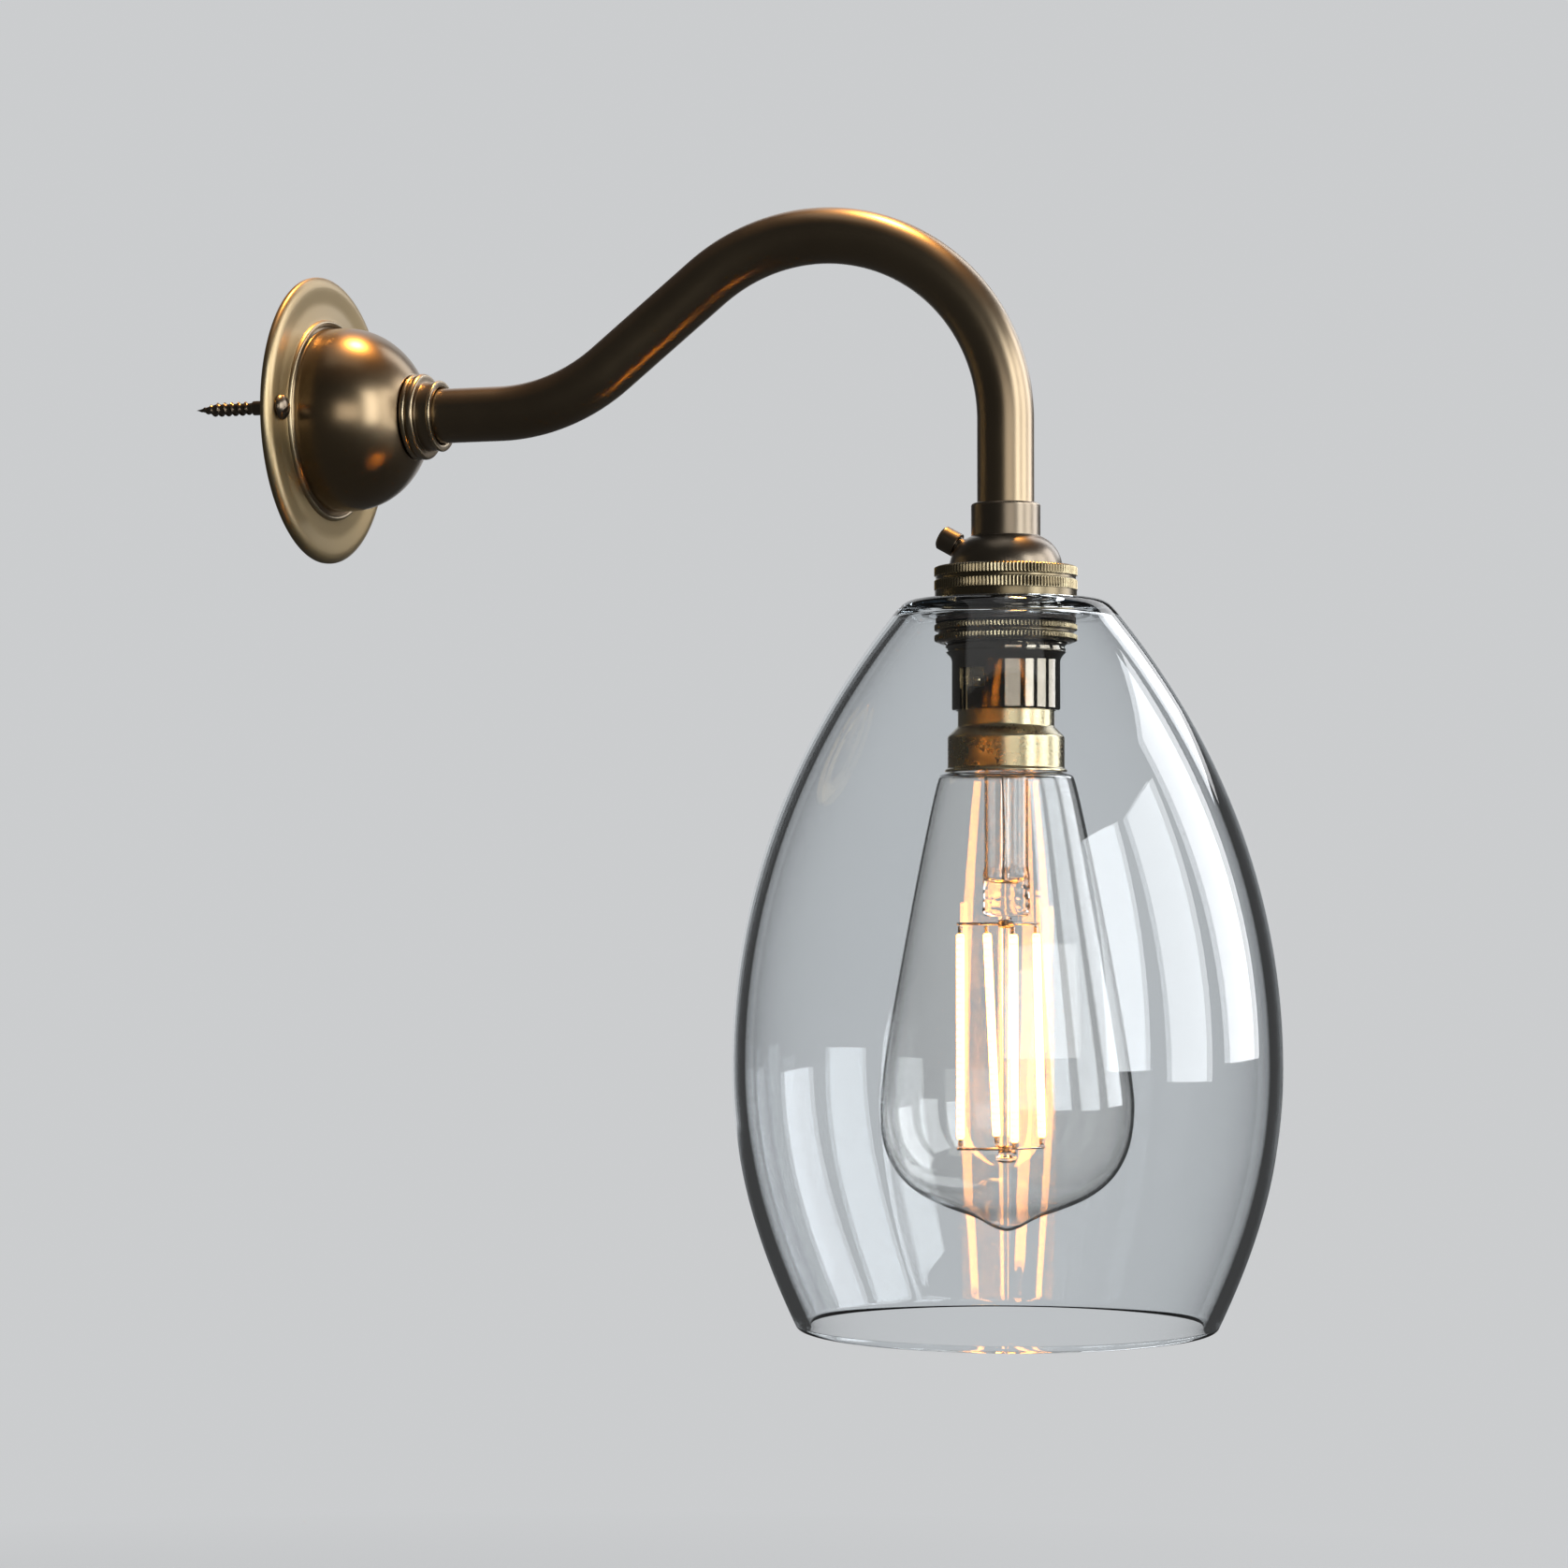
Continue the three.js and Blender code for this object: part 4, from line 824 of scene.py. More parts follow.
def finishes(axis: Colour) -> dict[Slot, Finish]:
    """Gives the finish of every slot.

    Args:
        axis: a point on the lamp's axis, in metres.

    Returns:
        The finishes by slot.
    """
    plate = BrassFinish(
        "spun_plate_brass",
        (0.60, 0.51, 0.35),
        (0.265, 0.185, 0.100),
        (0.205, 0.14, 0.072),
        0.29,
        0.02,
        axis=1,
        marks=7e-7,
        coat=0.6,
        wear_gain=0.5,
        brushed=0.3,
        # The flange is painted in the pale colour: a lit copy of the plate's own brass standing in for the
        # flange's brighter reflection.
        pale=(0.35, 0.258, 0.128),
        painted_light_from=0.0234,
        rough_far=0.1,
    )
    antique = (0.60, 0.48, 0.30), (0.28, 0.205, 0.118), (0.21, 0.148, 0.082)
    holder = (0.45, 0.35, 0.24), (0.18, 0.138, 0.090), (0.125, 0.092, 0.060)
    screw = (0.5, 0.39, 0.24), (0.20, 0.15, 0.095), (0.11, 0.08, 0.055)
    knurled = (0.46, 0.38, 0.23), (0.185, 0.145, 0.08), (0.12, 0.09, 0.048)
    polished = (0.38, 0.33, 0.24), (0.18, 0.15, 0.11), (0.13, 0.105, 0.075)
    lamp = (0.72, 0.62, 0.40), (0.52, 0.435, 0.25), (0.45, 0.365, 0.20)
    glow = (0.9, 0.6, 0.25), (22.0, 7.5, 1.4), (42.0, 15.0, 1.8)
    return {
        Slot.PLATE: plate,
        Slot.ANTIQUE: BrassFinish("antique_brass", *antique, 0.31, 0.03, axis=1),
        Slot.HOLDER: BrassFinish("holder_brass", *holder, 0.31, 0.03, axis),
        Slot.SCREW: BrassFinish("screw_brass", *screw, marks=1e-6),
        Slot.KNURLED: BrassFinish("knurled_brass", *knurled, 0.28, centre=axis, marks=1e-6, coat=0.5),
        Slot.POLISHED: BrassFinish("polished_brass", *polished, 0.07, 0.02, axis, marks=4e-7),
        Slot.LAMP: BrassFinish("lamp_brass", *lamp, 0.27, 0.03, axis),
        Slot.STEEL: PlainFinish("bright_wire", (0.55, 0.53, 0.50), (0.42, 0.40, 0.38), 0.25, 1.0),
        Slot.SOLDER: PlainFinish("solder", (0.60, 0.61, 0.63), (0.45, 0.46, 0.48), 0.4, 1.0),
        Slot.SHADE_GLASS: GlassFinish("shade_glass", (0.95, 0.965, 0.975), 1.1e-4, 16.0, 150.0),
        Slot.LAMP_GLASS: GlassFinish("lamp_glass", (0.985, 0.98, 0.97), 4e-5, 60.0),
        Slot.BLACK_GLASS: PlainFinish("black_glass", (0.02, 0.02, 0.025), (0.03, 0.03, 0.035), 0.1),
        Slot.PORCELAIN: PlainFinish("porcelain", (0.80, 0.77, 0.70), (0.74, 0.71, 0.64), 0.3, coat=0.6),
        Slot.NYLON: PlainFinish("natural_nylon", (0.76, 0.74, 0.68), (0.70, 0.68, 0.62), 0.45),
        Slot.FIBRE: PlainFinish("fibre", (0.06, 0.05, 0.045), (0.03, 0.027, 0.024), 0.8),
        Slot.BOARD: PlainFinish("circuit_board", (0.06, 0.16, 0.07), (0.04, 0.11, 0.05), 0.45),
        Slot.SHEATH: PlainFinish("flex_sheath", (0.03, 0.03, 0.03), (0.045, 0.045, 0.045), 0.6),
        Slot.BROWN: PlainFinish("brown_core", (0.16, 0.07, 0.03), (0.13, 0.055, 0.025), 0.45),
        Slot.BLUE: PlainFinish("blue_core", (0.04, 0.13, 0.42), (0.03, 0.10, 0.35), 0.45),
        Slot.EARTH: PlainFinish("earth_core", (0.22, 0.38, 0.04), (0.55, 0.50, 0.05), 0.45),
        Slot.FILAMENT: GlowFinish("glowing_phosphor", *glow, 1.5 * MM),
    }


@dataclass
class Workshop:
    """Makes pieces: it holds the placements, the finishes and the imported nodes.

    Args:
        nodes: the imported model's nodes by name.
        lamp_reach: distance from the wall to the lamp's axis, in millimetres.
    """

    nodes: dict[str, bpy.types.Object]
    lamp_reach: float
    materials: dict[Slot, bpy.types.Material] = field(init=False)

    def __post_init__(self) -> None:
        """Works out the placements and makes the materials."""
        self.world = Placement(np.eye(3), np.zeros(3))
        self.wall = Placement(np.array([[1, 0, 0], [0, 0, -1], [0, 1, 0]], float), np.zeros(3))
        self.lamp = Placement(np.eye(3), np.array([0.0, -self.lamp_reach, 0.0]))
        laid_out = finishes((0.0, -self.lamp_reach * MM, 0.0))
        self.materials = {slot: finish.material() for slot, finish in laid_out.items()}

    def paint(self, piece: bpy.types.Object, slot: Slot) -> None:
        """Puts a slot's finish on a piece."""
        piece.data.materials.clear()
        piece.data.materials.append(self.materials[slot])

    def piece(
        self,
        name: str,
        surface: Surface,
        body: Body,
        slot: Slot,
        *nodes: str,
        place: Placement | None = None,
        crease: float = CREASE,
        cuts: Sequence[bpy.types.Object] = (),
    ) -> bpy.types.Object:
        """Makes an object, cuts tools out of it, and gives it its body, its finish and its nodes.

        Args:
            name: the piece's name.
            surface: its surface.
            body: the body that it rides on.
            slot: the slot that it takes its finish from.
            nodes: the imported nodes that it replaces.
            place: where its frame lies, which is the lamp's frame if left out.
            crease: edges that turn more than this angle in degrees shade sharp.
            cuts: closed objects to cut away.

        Returns:
            The piece.
        """
        made = make_object(name, surface, place or self.lamp, crease)
        if cuts:
            cut_away(made, cuts)
        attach(made, body.value)
        self.paint(made, slot)
        if nodes:
            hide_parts(*nodes)
        LOG.info("%s: %d faces on %s", name, len(made.data.polygons), body.value)
        return made

    def keep(self) -> None:
        """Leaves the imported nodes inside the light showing, with their slots' finishes on them."""
        for slot, names in KEPT_NODES.items():
            for name in names:
                self.paint(self.nodes[name], slot)
                LOG.info("%s: packed node kept", name)


@dataclass
class WallPlate:
    """Spun wall plate: a rim, a flat flange, a bead and a dome in one sheet of brass."""

    radius: float = 34.5
    sheet: float = 1.2
    rim_bevel: float = 2.6
    rim_edge: float = 0.7
    flange_height: float = 2.1
    flange_dish: float = 0.25
    bead_radius: float = 24.2
    bead_width: float = 1.3
    bead_rise: float = 0.9
    dome_radius: float = 22.0
    dome_wall_height: float = 6.8
    dome_reach: float = 24.1
    dome_top_radius: float = 10.3
    bore: float = 6.8
    edge_round: float = 0.35
    screw_offset: float = 28.0
    screw_hole: float = 2.0
    sides: int = 224
    row: float = 1.2

    def outline(self) -> np.ndarray:
        """The sheet's section, worked out from quarter ellipses joined by straight stretches."""
        sheet, level, edge = self.sheet, self.flange_height, self.rim_edge
        share = self.dome_top_radius / self.dome_radius
        depth = (self.dome_reach - self.dome_wall_height) / math.sqrt(1 - share**2)
        inner_top = self.dome_reach - sheet
        inner_end = math.degrees(math.asin((inner_top - self.dome_wall_height) / (depth - sheet)))
        bead, rim = self.bead_radius - self.bead_width / 2, self.radius - self.rim_bevel
        dome_middle = (0, self.dome_wall_height)
        corners = chain(
            [self.radius, 0],
            arc((rim, edge), (self.rim_bevel, level - edge), 0, 90, 14),
            [(self.bead_radius + rim) / 2, level - self.flange_dish],
            arc((bead, level), (self.bead_width / 2, self.bead_rise), 0, 180, 16),
            [self.dome_radius, level + edge],
            arc(dome_middle, (self.dome_radius, depth), 0, math.degrees(math.acos(share)), 56),
            [[self.bore, self.dome_reach], [self.bore, inner_top]],
            arc(dome_middle, (self.dome_radius - sheet, depth - sheet), inner_end, 0, 40),
            [[self.dome_radius - sheet, level], [bead, level - sheet], [rim - sheet, level - sheet]],
            [self.radius - sheet, 0],
        )
        return smooth(corners, self.edge_round, self.row)

    def build(self, shop: Workshop) -> None:
        """Makes the plate, with its two screw holes."""
        hole = drill(self.screw_hole, low=-4, high=6)
        offsets = (-self.screw_offset, self.screw_offset)
        tools = [make_object(f"hole_tool_{x:.0f}", hole.moved(x), shop.wall) for x in offsets]
        plate = turned(self.outline(), self.sides)
        shop.piece(
            "spun_wall_plate", plate, Body.FIXTURE, Slot.PLATE, "wall_plate", place=shop.wall, cuts=tools
        )


@dataclass
class WallScrew:
    """Round-head slotted wood screw with a cut thread and a point."""

    offset: float
    slot_angle: float
    seat: float = 2.4
    head_radius: float = 3.0
    head_rise: float = 1.9
    head_edge: float = 0.1
    shank_radius: float = 1.7
    length: float = 22.0
    point: float = 5.0
    thread_pitch: float = 1.8
    thread_depth: float = 0.45
    plain_length: float = 7.0
    slot_width: float = 0.8
    slot_depth: float = 0.95
    sides: int = 64
    row: float = 0.22
    edge_round: float = 0.12

    def build(self, shop: Workshop, side: str) -> None:
        """Makes the screw. The thread is a ridge whose height follows the turn of a helix."""
        seat, top, foot = self.seat, self.seat + self.head_rise, self.seat - self.length
        core, plain = self.shank_radius - self.thread_depth, self.seat - self.plain_length
        section = chain(
            [[0, foot], [core, foot + self.point], [core, plain], [self.shank_radius, plain]],
            [[self.shank_radius, seat], [self.head_radius - self.head_edge, seat]],
            arc((0, seat), (self.head_radius, self.head_rise), 0, 90, 16),
        )
        outline = smooth(section, self.edge_round, self.row, closed=False)
        outline[-1, 0] = 0.0
        height = outline[:, 1:]
        ridge = unit(0.5 + 0.5 * np.cos(TURN * height / self.thread_pitch - around(self.sides))) ** 3
        fade = unit((height - foot) / self.point) * unit((plain - height) / self.thread_pitch)
        screw = turned(outline, self.sides, False, self.thread_depth * ridge * fade).moved(self.offset)
        sizes = (2 * self.head_radius + 1, self.slot_width, 2 * self.slot_depth)
        slot = box_surface((self.offset, 0, top), sizes, self.slot_angle)
        tool = make_object(f"{side}_slot_tool", slot, shop.wall)
        name, node = f"{side}_wall_screw", f"wall_screw_{side}"
        shop.piece(name, screw, Body.FIXTURE, Slot.SCREW, node, place=shop.wall, cuts=[tool])


@dataclass
class SwanNeck:
    """Bent tube: level out of the wall, a rising bend, a straight slope, the crown and a drop."""

    tube_radius: float = 6.5
    wall: float = 1.2
    tail: float = 14.5
    level_end: float = 46.4
    rise_radius: float = 45.4
    rise_angle: float = 38.25
    slope: float = 30.7
    crown_radius: float = 44.6
    tube_end: float = -31.5
    end_round: float = 0.25
    sides: int = 96
    step: float = 1.2

    @property
    def crown_centre(self) -> tuple[float, float]:
        """Distance from the wall and height of the crown's centre."""
        across, up = math.sin(math.radians(self.rise_angle)), math.cos(math.radians(self.rise_angle))
        both = self.rise_radius + self.crown_radius
        return (
            self.level_end + both * across + self.slope * up,
            self.rise_radius - both * up + self.slope * across,
        )

    @property
    def reach(self) -> float:
        """Distance from the wall to the lamp's axis."""
        return self.crown_centre[0] + self.crown_radius

    def path(self) -> np.ndarray:
        """Points of the centre line: straight runs and arcs, walked at an even step."""
        rise = arc((self.level_end, self.rise_radius), self.rise_radius, -90, self.rise_angle - 90, 40)
        crown = arc(self.crown_centre, self.crown_radius, 90 + self.rise_angle, 0, 120)
        flat = chain([self.tail, 0], rise, crown, [self.reach, self.tube_end])
        flat = even_rows(flat, self.step, closed=False)
        return np.stack([np.zeros(len(flat)), -flat[:, 0], flat[:, 1]], axis=1)

    def build(self, shop: Workshop) -> None:
        """Makes the hollow tube: the outer wall one way and the inner wall back, joined at both ends."""
        path = self.path()
        lip, outer, inner = (
            rings_along(path, self.tube_radius - less, self.sides, SIDEWAYS)
            for less in (self.end_round, 0.0, self.wall)
        )
        tube = lattice(np.concatenate([lip[:1], outer[1:-1], lip[-1:], inner[::-1]]), True)
        shop.piece("bent_tube", tube, Body.FIXTURE, Slot.ANTIQUE, "swan_neck_arm", place=shop.world)


@dataclass
class Collar:
    """Turned collar round the arm: a narrow bead, a wide bead, a sleeve and a rolled lip."""

    base: float = 24.4
    bore: float = 6.8
    bead_radius: float = 10.3
    swell: float = 0.6
    first_bead: float = 1.3
    second_bead: float = 2.0
    sleeve_radius: float = 8.2
    sleeve_length: float = 3.8
    lip_length: float = 0.9
    lip_swell: float = 0.3
    groove: float = 0.25
    lip_groove: float = 0.15
    bevel: float = 0.35
    sides: int = 160
    row: float = 0.8
    edge_round: float = 0.14

    def build(self, shop: Workshop) -> None:
        """Makes the collar from a section of arcs."""
        first_top = self.base + self.first_bead
        second_top = first_top + self.second_bead
        top = second_top + self.sleeve_length
        neck, sleeve = self.bead_radius - self.swell, self.sleeve_radius
        section = chain(
            [[self.bore, self.base], [neck, self.base]],
            arc((neck, self.base + self.first_bead / 2), (self.swell, self.first_bead / 2), -80, 80, 10),
            [neck - self.groove, first_top],
            arc((neck, first_top + self.second_bead / 2), (self.swell, self.second_bead / 2), -75, 90, 14),
            [[sleeve, second_top], [sleeve, top - self.lip_length - self.lip_groove]],
            arc((sleeve, top - self.lip_length / 2), (self.lip_swell, self.lip_length / 2), -90, 90, 12),
            [[self.bore + self.bevel, top], [self.bore, top - self.bevel]],
        )
        collar = spun(section, self.edge_round, self.row, self.sides)
        shop.piece("turned_collar", collar, Body.FIXTURE, Slot.ANTIQUE, "arm_collar", place=shop.wall)


@dataclass
class Lampholder:
    """Bayonet lampholder: domed cap, earth terminal, knurled ring and threaded barrel."""

    bore: float = 6.8
    neck_radius: float = 7.9
    neck_top: float = -25.3
    neck_round: float = 0.4
    dome_ring: float = 5.0
    dome_radius: float = 7.9
    dome_floor: float = -40.2
    cap_wall: float = 1.2
    stop_radius: float = 5.6
    stop_top: float = -31.8
    flange_radius: float = 14.6
    flange_top: float = -41.2
    flange_foot: float = -42.2
    ring_radius: float = 16.3
    ring_top: float = -39.7
    ring_lip: float = 1.2
    row: float = 2.3
    groove: float = 0.9
    groove_depth: float = 0.35
    band_step: float = 0.12
    band: float = 2.3
    bevel: float = 0.35
    recess_wall: float = 1.3
    lip_slope: float = 0.3
    ring_bore: float = 14.05
    teeth: int = 120
    tooth_depth: float = 0.3
    tooth_columns: int = 6
    tooth_edge: float = 0.1
    thread_radius: float = 13.9
    thread_pitch: float = 1.2
    thread_depth: float = 0.5
    thread_end_angle: float = 235.0
    thread_run_out: float = 0.45
    thread_clear: float = 0.2
    thread_start: float = 0.3
    thread_fade: float = 0.5
    barrel_bore: float = 12.2
    barrel_top: float = -42.5
    thread_foot: float = -59.9
    flare: float = 2.2
    flare_edge: float = 0.15
    skirt_radius: float = 12.4
    skirt_bore: float = 11.4
    skirt_foot: float = -73.0
    skirt_round: float = 0.5
    ledge: float = -55.0
    slot_top: float = -63.7
    slot_foot: float = -68.0
    entry_angle: float = 144.5
    entry_width: float = 2.6
    entry_depth: float = 4.0
    entry_overrun: float = 2.0
    slot_overrun: float = 1.5
    slot_close: float = 172.4
    earth_seat_angle: float = 42.0
    earth_tilt: float = 29.0
    earth_head: float = 2.85
    earth_start: float = 0.6
    earth_length: float = 4.5
    earth_bevel: float = 0.5
    earth_shank: float = 2.1
    earth_depth: float = 5.4
    earth_bore: float = 1.9
    earth_bore_depth: float = 1.5
    earth_slot: tuple[float, float, float] = (6.0, 0.7, 2.2)
    earth_slot_angle: float = 20.0
    earth_screw_bevel: tuple[float, float] = (0.35, 0.3)
    sides: int = 160

    def earth_placement(self, shop: Workshop) -> Placement:
        """The slanted earth terminal's frame, whose Z runs out along the post."""
        tilt, seat = math.radians(self.earth_tilt), math.radians(self.earth_seat_angle)
        out, side = np.array([0.0, math.cos(tilt), math.sin(tilt)]), np.array(SIDEWAYS, float)
        reach = self.dome_ring + self.dome_radius * math.cos(seat) - shop.lamp_reach
        height = self.dome_floor + self.dome_radius * math.sin(seat)
        return Placement(np.stack([side, np.cross(out, side), out], axis=1), np.array([0, reach, height]))

    def build_cap(self, shop: Workshop) -> None:
        """Makes the domed cap with its neck, and cuts the earth terminal's hole."""
        centre, inner_radius = (self.dome_ring, self.dome_floor), self.dome_radius - self.cap_wall
        outer_end = math.degrees(math.acos((self.neck_radius - self.dome_ring) / self.dome_radius))
        inner_end = math.degrees(math.acos((self.stop_radius - self.dome_ring) / inner_radius))
        section = chain(
            [[self.dome_ring + inner_radius, self.flange_foot], [self.flange_radius, self.flange_foot]],
            [[self.flange_radius, self.flange_top], [self.dome_ring + self.dome_radius, self.flange_top]],
            arc(centre, self.dome_radius, 0, outer_end, 40),
            [self.neck_radius, self.neck_top - self.neck_round],
            [self.neck_radius - self.neck_round, self.neck_top],
            [[self.bore, self.neck_top], [self.bore, self.stop_top], [self.stop_radius, self.stop_top]],
            arc(centre, inner_radius, inner_end, 0, 24),
        )
        hole = drill(self.earth_shank + GAP, -self.earth_depth, high=4)
        tool = make_object("earth_hole_tool", hole, self.earth_placement(shop))
        cap = spun(section, reach=0.3, longest=0.7, sides=self.sides)
        shop.piece("holder_cap_dome", cap, Body.FIXTURE, Slot.HOLDER, "holder_cap", cuts=[tool])

    def build_earth(self, shop: Workshop) -> None:
        """Makes the earth post and the slotted screw in it."""
        place = self.earth_placement(shop)
        head, shank, bore = self.earth_head, self.earth_shank, self.earth_bore
        start, end = self.earth_start, self.earth_start + self.earth_length
        section = chain(
            [[0, -self.earth_depth], [shank, -self.earth_depth], [shank, start], [head, start]],
            [[head, end - self.earth_bevel], [head - self.earth_bevel, end], [bore, end]],
            [[bore, -self.earth_bore_depth], [0, -self.earth_bore_depth]],
        )
        post = spun(section, reach=0.12, longest=0.5, sides=64, closed=False)
        shop.piece("earth_terminal_post", post, Body.FIXTURE, Slot.HOLDER, "earth_post", place=place)
        radius, foot, top = bore - GAP, GAP - self.earth_bore_depth, end - GAP
        across, down = self.earth_screw_bevel
        section = [[0, foot], [radius, foot], [radius, top - down], [radius - across, top], [0, top]]
        screw = spun(section, reach=0.12, longest=0.4, sides=48, closed=False)
        slot = box_surface((0, 0, end), self.earth_slot, self.earth_slot_angle)
        tool = make_object("earth_slot_tool", slot, place)
        shop.piece(
            "earth_terminal_screw", screw, Body.FIXTURE, Slot.SCREW, "earth_screw", place=place, cuts=[tool]
        )

    def knurled(self, outline: np.ndarray, rows: Sequence[tuple[float, float]], fade: float) -> Surface:
        """Turns a ring and mills straight teeth into stretches of its outside.

        A tooth is a cosine wave round the ring, and fades out at the ends of its row.

        Args:
            outline: the ring's section.
            rows: foot and top of each toothed stretch.
            fade: length over which the teeth run out.

        Returns:
            The ring.
        """
        sides = self.teeth * self.tooth_columns
        height, radius = outline[:, 1:], outline[:, :1]
        wave = 0.5 - 0.5 * np.cos(self.teeth * around(sides))
        stretches = [unit((height - foot) / fade) * unit((top - height) / fade) for foot, top in rows]
        milled = np.maximum.reduce(stretches) * unit((radius - self.ring_radius + 1.0) / 0.3)
        wear = edge_wear(outline)[:, None] + 0.9 * (1 - wave) ** 4 * milled
        return turned(outline, sides, True, -self.tooth_depth * wave * milled, unit(wear))

    def build_ring(self, shop: Workshop) -> None:
        """Makes the ring under the cap: two knurled rows with a groove between, and a plain band."""
        bore, outer, top, edge = self.ring_bore, self.ring_radius, self.ring_top, self.tooth_edge
        foot = top - 2 * self.row - self.groove - self.band
        second_foot = foot + self.band
        second_top = second_foot + self.row
        first_foot = second_top + self.groove
        depths = (self.band_step, self.groove_depth, self.recess_wall)
        band, groove, recess = (outer - depth for depth in depths)
        lip, bevelled = self.dome_ring + self.dome_radius + GAP, self.bevel + self.lip_slope
        section = chain(
            [[bore, foot], [band, foot], [band, second_foot - edge], [outer, second_foot + edge]],
            [[outer, second_top - edge], [groove, second_top + edge], [groove, first_foot - edge]],
            [[outer, first_foot + edge], [outer, top - self.bevel], [outer - bevelled, top]],
            [[lip, top], [lip, top - self.ring_lip], [recess, top - self.ring_lip]],
            [[recess, self.barrel_top], [bore, self.barrel_top]],
        )
        rows = [(second_foot, second_top), (first_foot, top)]
        ring = self.knurled(smooth(section, reach=0.16, longest=1.2, steps=3), rows, fade=0.2)
        shop.piece("knurled_cap_ring", ring, Body.FIXTURE, Slot.KNURLED, "cap_ring")

    def slot_tools(self, shop: Workshop) -> list[bpy.types.Object]:
        """Makes what cuts the two bayonet slots: a leg round the skirt and an entry from below, each."""
        foot, low, high = self.skirt_foot - self.entry_overrun, self.slot_foot, self.slot_top
        half_entry = math.degrees(math.asin(self.entry_width / 2 / self.skirt_radius))
        inner, outer = self.skirt_bore - self.slot_overrun, self.skirt_radius + self.slot_overrun
        corners = ((inner, low), (outer, low), (outer, high), (inner, high))
        surfaces = []
        for start in (0.0, 180.0):
            entry = start + self.entry_angle
            angles = np.linspace(*np.radians((entry - half_entry, start + self.slot_close)), 25)
            rows = np.stack([polar(radius, angles, height) for radius, height in corners], axis=1)
            poles = np.repeat(rows.mean(axis=1, keepdims=True), 4, axis=1)
            surfaces.append(lattice(np.concatenate([poles[:1], rows, poles[-1:]])[::-1]))
            middle = polar((self.skirt_bore + self.skirt_radius) / 2, math.radians(entry), (high + foot) / 2)
            sizes = (self.entry_depth, self.entry_width, high - foot)
            surfaces.append(box_surface(middle, sizes, entry))
        return [make_object(f"slot_tool_{i}", tool, shop.lamp) for i, tool in enumerate(surfaces)]

    def build_barrel(self, shop: Workshop) -> None:
        """Makes the barrel: rolled thread, flare and skirt, with the two bayonet slots cut through.

        The thread is a cosine ridge along a helix. A ridge fades where its own height comes near the
        thread's foot, so the last one runs out at one angle.
        """
        skirt, bore, foot, top = self.skirt_radius, self.barrel_bore, self.thread_foot, self.barrel_top
        root = self.thread_radius - self.thread_depth
        flare = cubic(
            [skirt, foot - self.flare],
            [skirt, foot - self.flare / 2],
            heading([self.thread_radius, foot], 225, self.flare / 3),
            [self.thread_radius - self.flare_edge, foot],
            12,
        )
        section = chain(
            [self.skirt_bore, self.skirt_foot],
            arc((skirt - self.skirt_round, self.skirt_foot + self.skirt_round), self.skirt_round, -90, 0, 8),
            flare,
            [[root, foot + self.thread_clear], [root, top], [bore, top]],
            [[bore, self.ledge], [self.skirt_bore, self.ledge]],
        )
        outline = smooth(section, reach=0.2, longest=0.16)
        height, radius = outline[:, 1:], outline[:, :1]
        share = (around(self.sides) - math.radians(self.thread_end_angle)) / TURN
        turns = (height - foot - self.thread_run_out) / self.thread_pitch - share
        rise = self.thread_pitch * (np.round(turns) + share)
        wave = 0.5 + 0.5 * np.cos(TURN * turns)
        threaded = unit(rise / self.thread_start)
        threaded = threaded * unit((top - self.thread_clear - height) / self.thread_fade)
        threaded = threaded * ((radius > root - 0.1) & (height > foot - 0.1))
        wear = unit(edge_wear(outline)[:, None] + 0.8 * wave**4 * threaded)
        barrel = turned(outline, self.sides, True, self.thread_depth * wave * threaded, wear)
        tools = self.slot_tools(shop)
        shop.piece("threaded_barrel", barrel, Body.FIXTURE, Slot.POLISHED, "holder_barrel", cuts=tools)

    def build(self, shop: Workshop) -> None:
        """Makes every piece of the holder."""
        self.build_cap(shop)
        self.build_earth(shop)
        self.build_ring(shop)
        self.build_barrel(shop)


